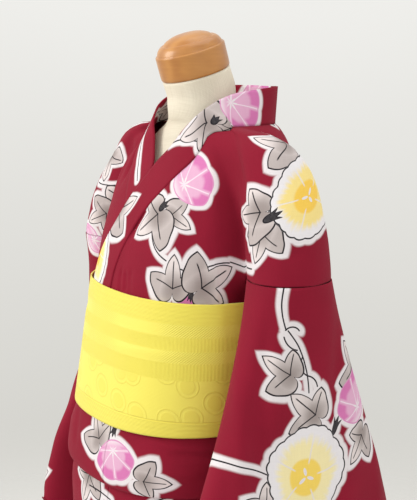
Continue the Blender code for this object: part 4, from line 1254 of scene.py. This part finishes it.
def makeWood():
    made, tree, shader = startMaterial("capWood")[:3]
    spot = tree.nodes.new("ShaderNodeTexCoord").outputs["Object"]
    lean = (math.radians(-17.0), 0.0, 0.0)
    long = add(tree, "ShaderNodeMapping", {"Vector": spot, "Scale": (26.0, 26.0, 220.0), "Rotation": lean}).outputs[0]
    grain = noise(tree, long, 1.0, 4.0, 0.6)
    rings = add(tree, "ShaderNodeTexWave", {
        "Vector": spot, "Scale": 9.0, "Distortion": 5.0, "Detail": 2.0, "Detail Scale": 2.0,
    }, bands_direction="X").outputs["Fac"]
    cloudy = noise(tree, spot, 11.0, 2.0)
    tone = plus(tree, times(tree, grain, 0.45), times(tree, rings, 0.30))
    tone = plus(tree, tone, times(tree, cloudy, 0.25))
    colour = mix(tree, tone, (0.340, 0.112, 0.018, 1.0), (0.62, 0.290, 0.070, 1.0))
    tree.links.new(colour, shader.inputs["Base Color"])
    rough = plus(tree, times(tree, grain, 0.16), 0.32)
    tree.links.new(rough, shader.inputs["Roughness"])
    shader.inputs["Coat Weight"].default_value = 0.30
    shader.inputs["Coat Roughness"].default_value = 0.12
    addBump(tree, shader, grain, 0.15, 0.0006)
    return made


def makeMetal(name, deep, light, rough, metallic):
    made, tree, shader = startMaterial(name)[:3]
    spot = tree.nodes.new("ShaderNodeTexCoord").outputs["Object"]
    long = add(tree, "ShaderNodeMapping", {"Vector": spot, "Scale": (300.0, 300.0, 14.0)}).outputs[0]
    brushed = noise(tree, long, 1.0, 2.0)
    cloudy = noise(tree, spot, 16.0, 3.0)
    tone = plus(tree, times(tree, brushed, 0.5), times(tree, cloudy, 0.5))
    tree.links.new(mix(tree, tone, deep, light), shader.inputs["Base Color"])
    tree.links.new(plus(tree, times(tree, tone, 0.16), rough), shader.inputs["Roughness"])
    shader.inputs["Metallic"].default_value = metallic
    addBump(tree, shader, brushed if metallic else cloudy, 0.10, 0.0004)
    return made


print("materials made")

# Creases by piece. Columns: from u, v; to u, v; bend; width; height (a trough is below nothing)
creases = {
    "bodice_left": (
        (-0.173, 1.150, -0.163, 1.112, 0.002, 0.0055, -0.0022),
        (-0.157, 1.148, -0.150, 1.118, -0.001, 0.0050, -0.0026),
        (-0.140, 1.152, -0.136, 1.112, 0.002, 0.0060, -0.0018),
        (-0.165, 1.190, -0.110, 1.235, -0.006, 0.0070, -0.0022),
        (-0.020, 1.175, 0.004, 1.110, 0.006, 0.0090, -0.0030),
        (0.040, 1.345, 0.085, 1.235, -0.008, 0.0140, 0.0020),
        (0.120, 1.215, 0.160, 1.190, 0.004, 0.0120, -0.0018),
        (0.205, 1.330, 0.230, 1.200, 0.006, 0.0120, -0.0022),
        (0.300, 1.250, 0.345, 1.120, -0.010, 0.0130, -0.0026),
        (0.375, 1.200, 0.400, 1.110, 0.006, 0.0100, -0.0024),
        (0.430, 1.170, 0.425, 1.110, 0.002, 0.0080, -0.0022),
    ),
    "bodice_right": (
        (0.048, 1.352, -0.060, 1.262, 0.008, 0.0075, -0.0065),
        (0.070, 1.345, -0.040, 1.235, 0.006, 0.0080, 0.0032),
        (0.082, 1.310, 0.005, 1.215, 0.005, 0.0080, -0.0036),
        (0.078, 1.270, 0.030, 1.190, -0.004, 0.0080, -0.0018),
        (-0.150, 1.165, -0.135, 1.115, 0.002, 0.0060, -0.0022),
        (-0.110, 1.170, -0.100, 1.112, 0.002, 0.0070, -0.0024),
        (-0.020, 1.165, 0.000, 1.110, 0.006, 0.0090, -0.0026),
        (0.160, 1.330, 0.200, 1.200, 0.010, 0.0120, -0.0024),
        (0.310, 1.240, 0.350, 1.120, -0.008, 0.0120, -0.0026),
        (0.400, 1.190, 0.415, 1.110, 0.004, 0.0090, -0.0022),
    ),
    "sleeve_left": (
        (-0.060, 1.120, -0.075, 0.800, 0.010, 0.0120, -0.0048),
        (-0.105, 1.080, -0.120, 0.740, -0.012, 0.0140, 0.0042),
        (-0.022, 1.000, -0.030, 0.820, 0.004, 0.0110, -0.0026),
        (0.045, 1.110, 0.050, 0.700, 0.010, 0.0150, -0.0042),
        (0.100, 1.090, 0.120, 0.760, -0.010, 0.0150, 0.0026),
        (0.150, 1.120, 0.190, 0.780, 0.010, 0.0160, -0.0034),
        (0.230, 1.080, 0.240, 0.700, 0.006, 0.0150, -0.0024),
        (-0.200, 1.060, -0.190, 0.760, 0.008, 0.0150, -0.0026),
    ),
    "sleeve_right": (
        (-0.120, 1.130, -0.150, 0.820, 0.010, 0.0140, -0.0034),
        (-0.070, 1.110, -0.085, 0.720, -0.010, 0.0150, 0.0030),
        (-0.030, 1.120, -0.030, 0.780, 0.006, 0.0120, -0.0028),
        (0.020, 1.080, 0.015, 0.700, -0.008, 0.0150, 0.0022),
        (0.070, 1.120, 0.085, 0.760, 0.008, 0.0140, -0.0030),
        (0.130, 1.100, 0.150, 0.720, -0.008, 0.0150, 0.0024),
        (0.190, 1.080, 0.200, 0.780, 0.008, 0.0140, -0.0026),
    ),
    "waist": (
        (-0.160, 0.938, -0.070, 0.925, 0.004, 0.0055, 0.0018),
        (-0.130, 0.920, -0.055, 0.912, -0.004, 0.0060, -0.0018),
        (-0.180, 0.900, -0.090, 0.896, 0.003, 0.0065, 0.0014),
        (-0.270, 0.940, -0.235, 0.900, 0.003, 0.0080, -0.0016),
        (-0.330, 0.940, -0.300, 0.890, -0.003, 0.0090, -0.0018),
        (-0.450, 0.935, -0.380, 0.915, 0.004, 0.0075, 0.0020),
        (-0.480, 0.905, -0.400, 0.895, -0.003, 0.0070, -0.0016),
        (0.040, 0.935, 0.130, 0.925, 0.004, 0.0070, 0.0020),
        (0.090, 0.905, 0.190, 0.912, -0.004, 0.0075, -0.0018),
        (0.230, 0.938, 0.320, 0.920, 0.005, 0.0070, 0.0020),
        (0.300, 0.900, 0.400, 0.908, -0.004, 0.0075, -0.0018),
        (0.400, 0.938, 0.480, 0.925, 0.004, 0.0070, 0.0016),
    ),
    "skirt": (
        (-0.060, 0.860, -0.040, 0.300, 0.010, 0.0160, -0.0040),
        (-0.110, 0.820, -0.120, 0.200, -0.008, 0.0180, 0.0034),
        (-0.175, 0.850, -0.170, 0.420, 0.006, 0.0140, -0.0026),
        (-0.250, 0.800, -0.265, 0.160, 0.008, 0.0160, 0.0026),
        (-0.310, 0.840, -0.300, 0.380, -0.006, 0.0140, -0.0030),
        (-0.420, 0.860, -0.430, 0.260, 0.008, 0.0160, -0.0036),
        (-0.490, 0.820, -0.480, 0.180, -0.008, 0.0160, 0.0030),
        (0.050, 0.860, 0.060, 0.240, 0.010, 0.0180, -0.0040),
        (0.120, 0.820, 0.110, 0.340, -0.010, 0.0160, 0.0034),
        (0.190, 0.860, 0.200, 0.180, 0.008, 0.0170, -0.0036),
        (0.300, 0.850, 0.290, 0.300, 0.006, 0.0180, -0.0038),
        (0.370, 0.820, 0.380, 0.160, -0.008, 0.0160, 0.0032),
        (0.450, 0.860, 0.440, 0.400, 0.008, 0.0150, -0.0030),
    ),
    "obi": (
        (0.120, 1.000, 0.300, 0.998, 0.001, 0.0040, -0.0010),
        (0.300, 1.050, 0.460, 1.046, -0.002, 0.0070, 0.0010),
        (0.520, 1.090, 0.640, 1.070, 0.003, 0.0080, -0.0012),
        (0.760, 1.060, 0.900, 1.040, -0.003, 0.0080, -0.0012),
    ),
}

shown = {}
shown["bodice_left"] = makeBodice("bodiceLeft", True, creases["bodice_left"], bodiceLeftPrint)
shown["bodice_right"] = makeBodice("bodiceRight", False, creases["bodice_right"], bodiceRightPrint)
shown["collar"] = makeCollar(collarPrint)
shown["sleeve_left"] = makeSleeve("sleeveLeft", True, creases["sleeve_left"], sleeveLeftPrint)
shown["sleeve_right"] = makeSleeve("sleeveRight", False, creases["sleeve_right"], sleeveRightPrint)
print("bodice, collar and sleeves made")

side, okumi, okumiEdge, foldEdge = (panelSeams[key] for key in ("side", "okumi", "okumiEdge", "foldEdge"))
for node, name, start, end in (
        ("fold_front_left", "foldFrontLeft", side, okumi),
        ("fold_okumi_left", "foldOkumiLeft", okumi, foldEdge),
        ("fold_front_right", "foldFrontRight", foldEdge, -180.0 - side),
        ("fold_back_left", "foldBackLeft", side, 90.0),
        ("fold_back_right", "foldBackRight", 90.0, 180.0 - side)):
    shown[node] = makeFold(name, start, end, creases["waist"], waistPrint)
for node, name, start, end, over in (
        ("skirt_back_left", "skirtBackLeft", side, 90.0, False),
        ("skirt_back_right", "skirtBackRight", 90.0, 180.0 - side, False),
        ("skirt_front_left", "skirtFrontLeft", side, okumi, True),
        ("skirt_okumi_left", "skirtOkumiLeft", okumi, okumiEdge, True),
        ("skirt_front_right", "skirtFrontRight", -180.0 - side, -180.0 - okumi, False),
        ("skirt_okumi_right", "skirtOkumiRight", -180.0 - okumi, -180.0 - okumiEdge, False)):
    shown[node] = makeSkirt(name, start, end, over, creases["skirt"], skirtPrint)
shown["obi"] = makeBelt(creases["obi"], makeBeltCloth())
print("waist fold, skirt and belt made")

shown["form_body"] = makeForm(makeLinen())
shown["form_cap"] = makeCap(makeWood())
shown["form_pole"] = makePole(makeMetal("poleSteel", (0.50, 0.50, 0.51, 1.0), (0.70, 0.70, 0.71, 1.0), 0.24, 1.0))
shown["form_base"] = makePlate(makeMetal("plateEnamel", (0.70, 0.69, 0.66, 1.0), (0.80, 0.79, 0.76, 1.0), 0.34, 0.0))
print("dress form made")

for node, thing in shown.items():
    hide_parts(node)

# A pale studio: the floor fades into the backdrop, which has painted shade, darker downwards and in soft darker
# patches; one broad light and softer ones
studio = {
    "backdropHigh": (0.865, 0.860, 0.830, 1.0),
    # painted shade: the colour the backdrop darkens to at the bottom
    "backdropShadedLow": (0.640, 0.630, 0.590, 1.0),
    "from": -0.42,
    "to": 0.06,
    # painted shade: how strong the soft darker patches on the backdrop are
    "uneven": 0.16,
    "floorFade": (0.9, 2.6),
}


def makeBackdrop():
    world = bpy.data.worlds.new("studio")
    bpy.context.scene.world = world
    world.use_nodes = True
    tree = world.node_tree
    way = tree.nodes.new("ShaderNodeTexCoord").outputs["Generated"]
    # painted shade: low-frequency noise makes soft darker and lighter patches on the backdrop
    cloudy = times(tree, minus(tree, noise(tree, way, 2.2, 1.0), 0.5), studio["uneven"])
    up = plus(tree, add(tree, "ShaderNodeSeparateXYZ", {0: way}).outputs[2], cloudy)
    # painted shade: the backdrop darkens downwards towards the low colour
    light = add(tree, "ShaderNodeMapRange", {0: up, 1: studio["from"], 2: studio["to"]}).outputs[0]
    colour = mix(tree, light, studio["backdropShadedLow"], studio["backdropHigh"])
    tree.links.new(colour, tree.nodes["Background"].inputs["Color"])


makeBackdrop()


def makeFloor():
    size = 6.0
    data = bpy.data.meshes.new("floor")
    corners = [(-size, -size, 0.0), (size, -size, 0.0), (size, size, 0.0), (-size, size, 0.0)]
    data.from_pydata(corners, [], [(0, 1, 2, 3)])
    thing = bpy.data.objects.new("floor", data)
    bpy.context.collection.objects.link(thing)
    made = bpy.data.materials.new("floorPaper")
    made.use_nodes = True
    tree = made.node_tree
    shader = tree.nodes["Principled BSDF"]
    spot = tree.nodes.new("ShaderNodeTexCoord").outputs["Object"]
    speck = noise(tree, spot, 60.0, 3.0)
    tree.links.new(mix(tree, speck, (0.74, 0.73, 0.715, 1.0), (0.80, 0.79, 0.775, 1.0)), shader.inputs["Base Color"])
    away = add(tree, "ShaderNodeVectorMath", {0: spot}, operation="LENGTH").outputs["Value"]
    tree.links.new(step(tree, away, studio["floorFade"][1], studio["floorFade"][0]), shader.inputs["Alpha"])
    shader.inputs["Roughness"].default_value = 0.9
    data.materials.append(made)
    return thing


def addLight(name, place, aim, size, power, colour):
    data = bpy.data.lights.new(name, "AREA")
    data.shape = "SQUARE"
    data.size = size
    data.energy = power
    data.color = colour
    thing = bpy.data.objects.new(name, data)
    thing.location = place
    way = np.array(place) - np.array(aim)
    thing.rotation_euler = (math.acos(way[2] / np.linalg.norm(way)), 0.0, math.atan2(way[0], -way[1]))
    bpy.context.collection.objects.link(thing)
    return thing


# name: place, aim, size, power, colour
lights = {
    "frontBox": ((-1.3, -2.5, 2.4), (0.0, 0.0, 1.2), 1.6, 56.0, (1.0, 0.985, 0.96)),
    "sideBox": ((2.6, -0.6, 2.2), (0.1, 0.0, 1.2), 1.6, 10.0, (0.97, 0.985, 1.0)),
    "topBox": ((0.1, 0.3, 3.1), (0.0, 0.0, 1.2), 1.6, 11.0, (1.0, 1.0, 1.0)),
}
stagePieces = [makeFloor()] + [addLight(name, *values) for name, values in lights.items()]
print("studio made")
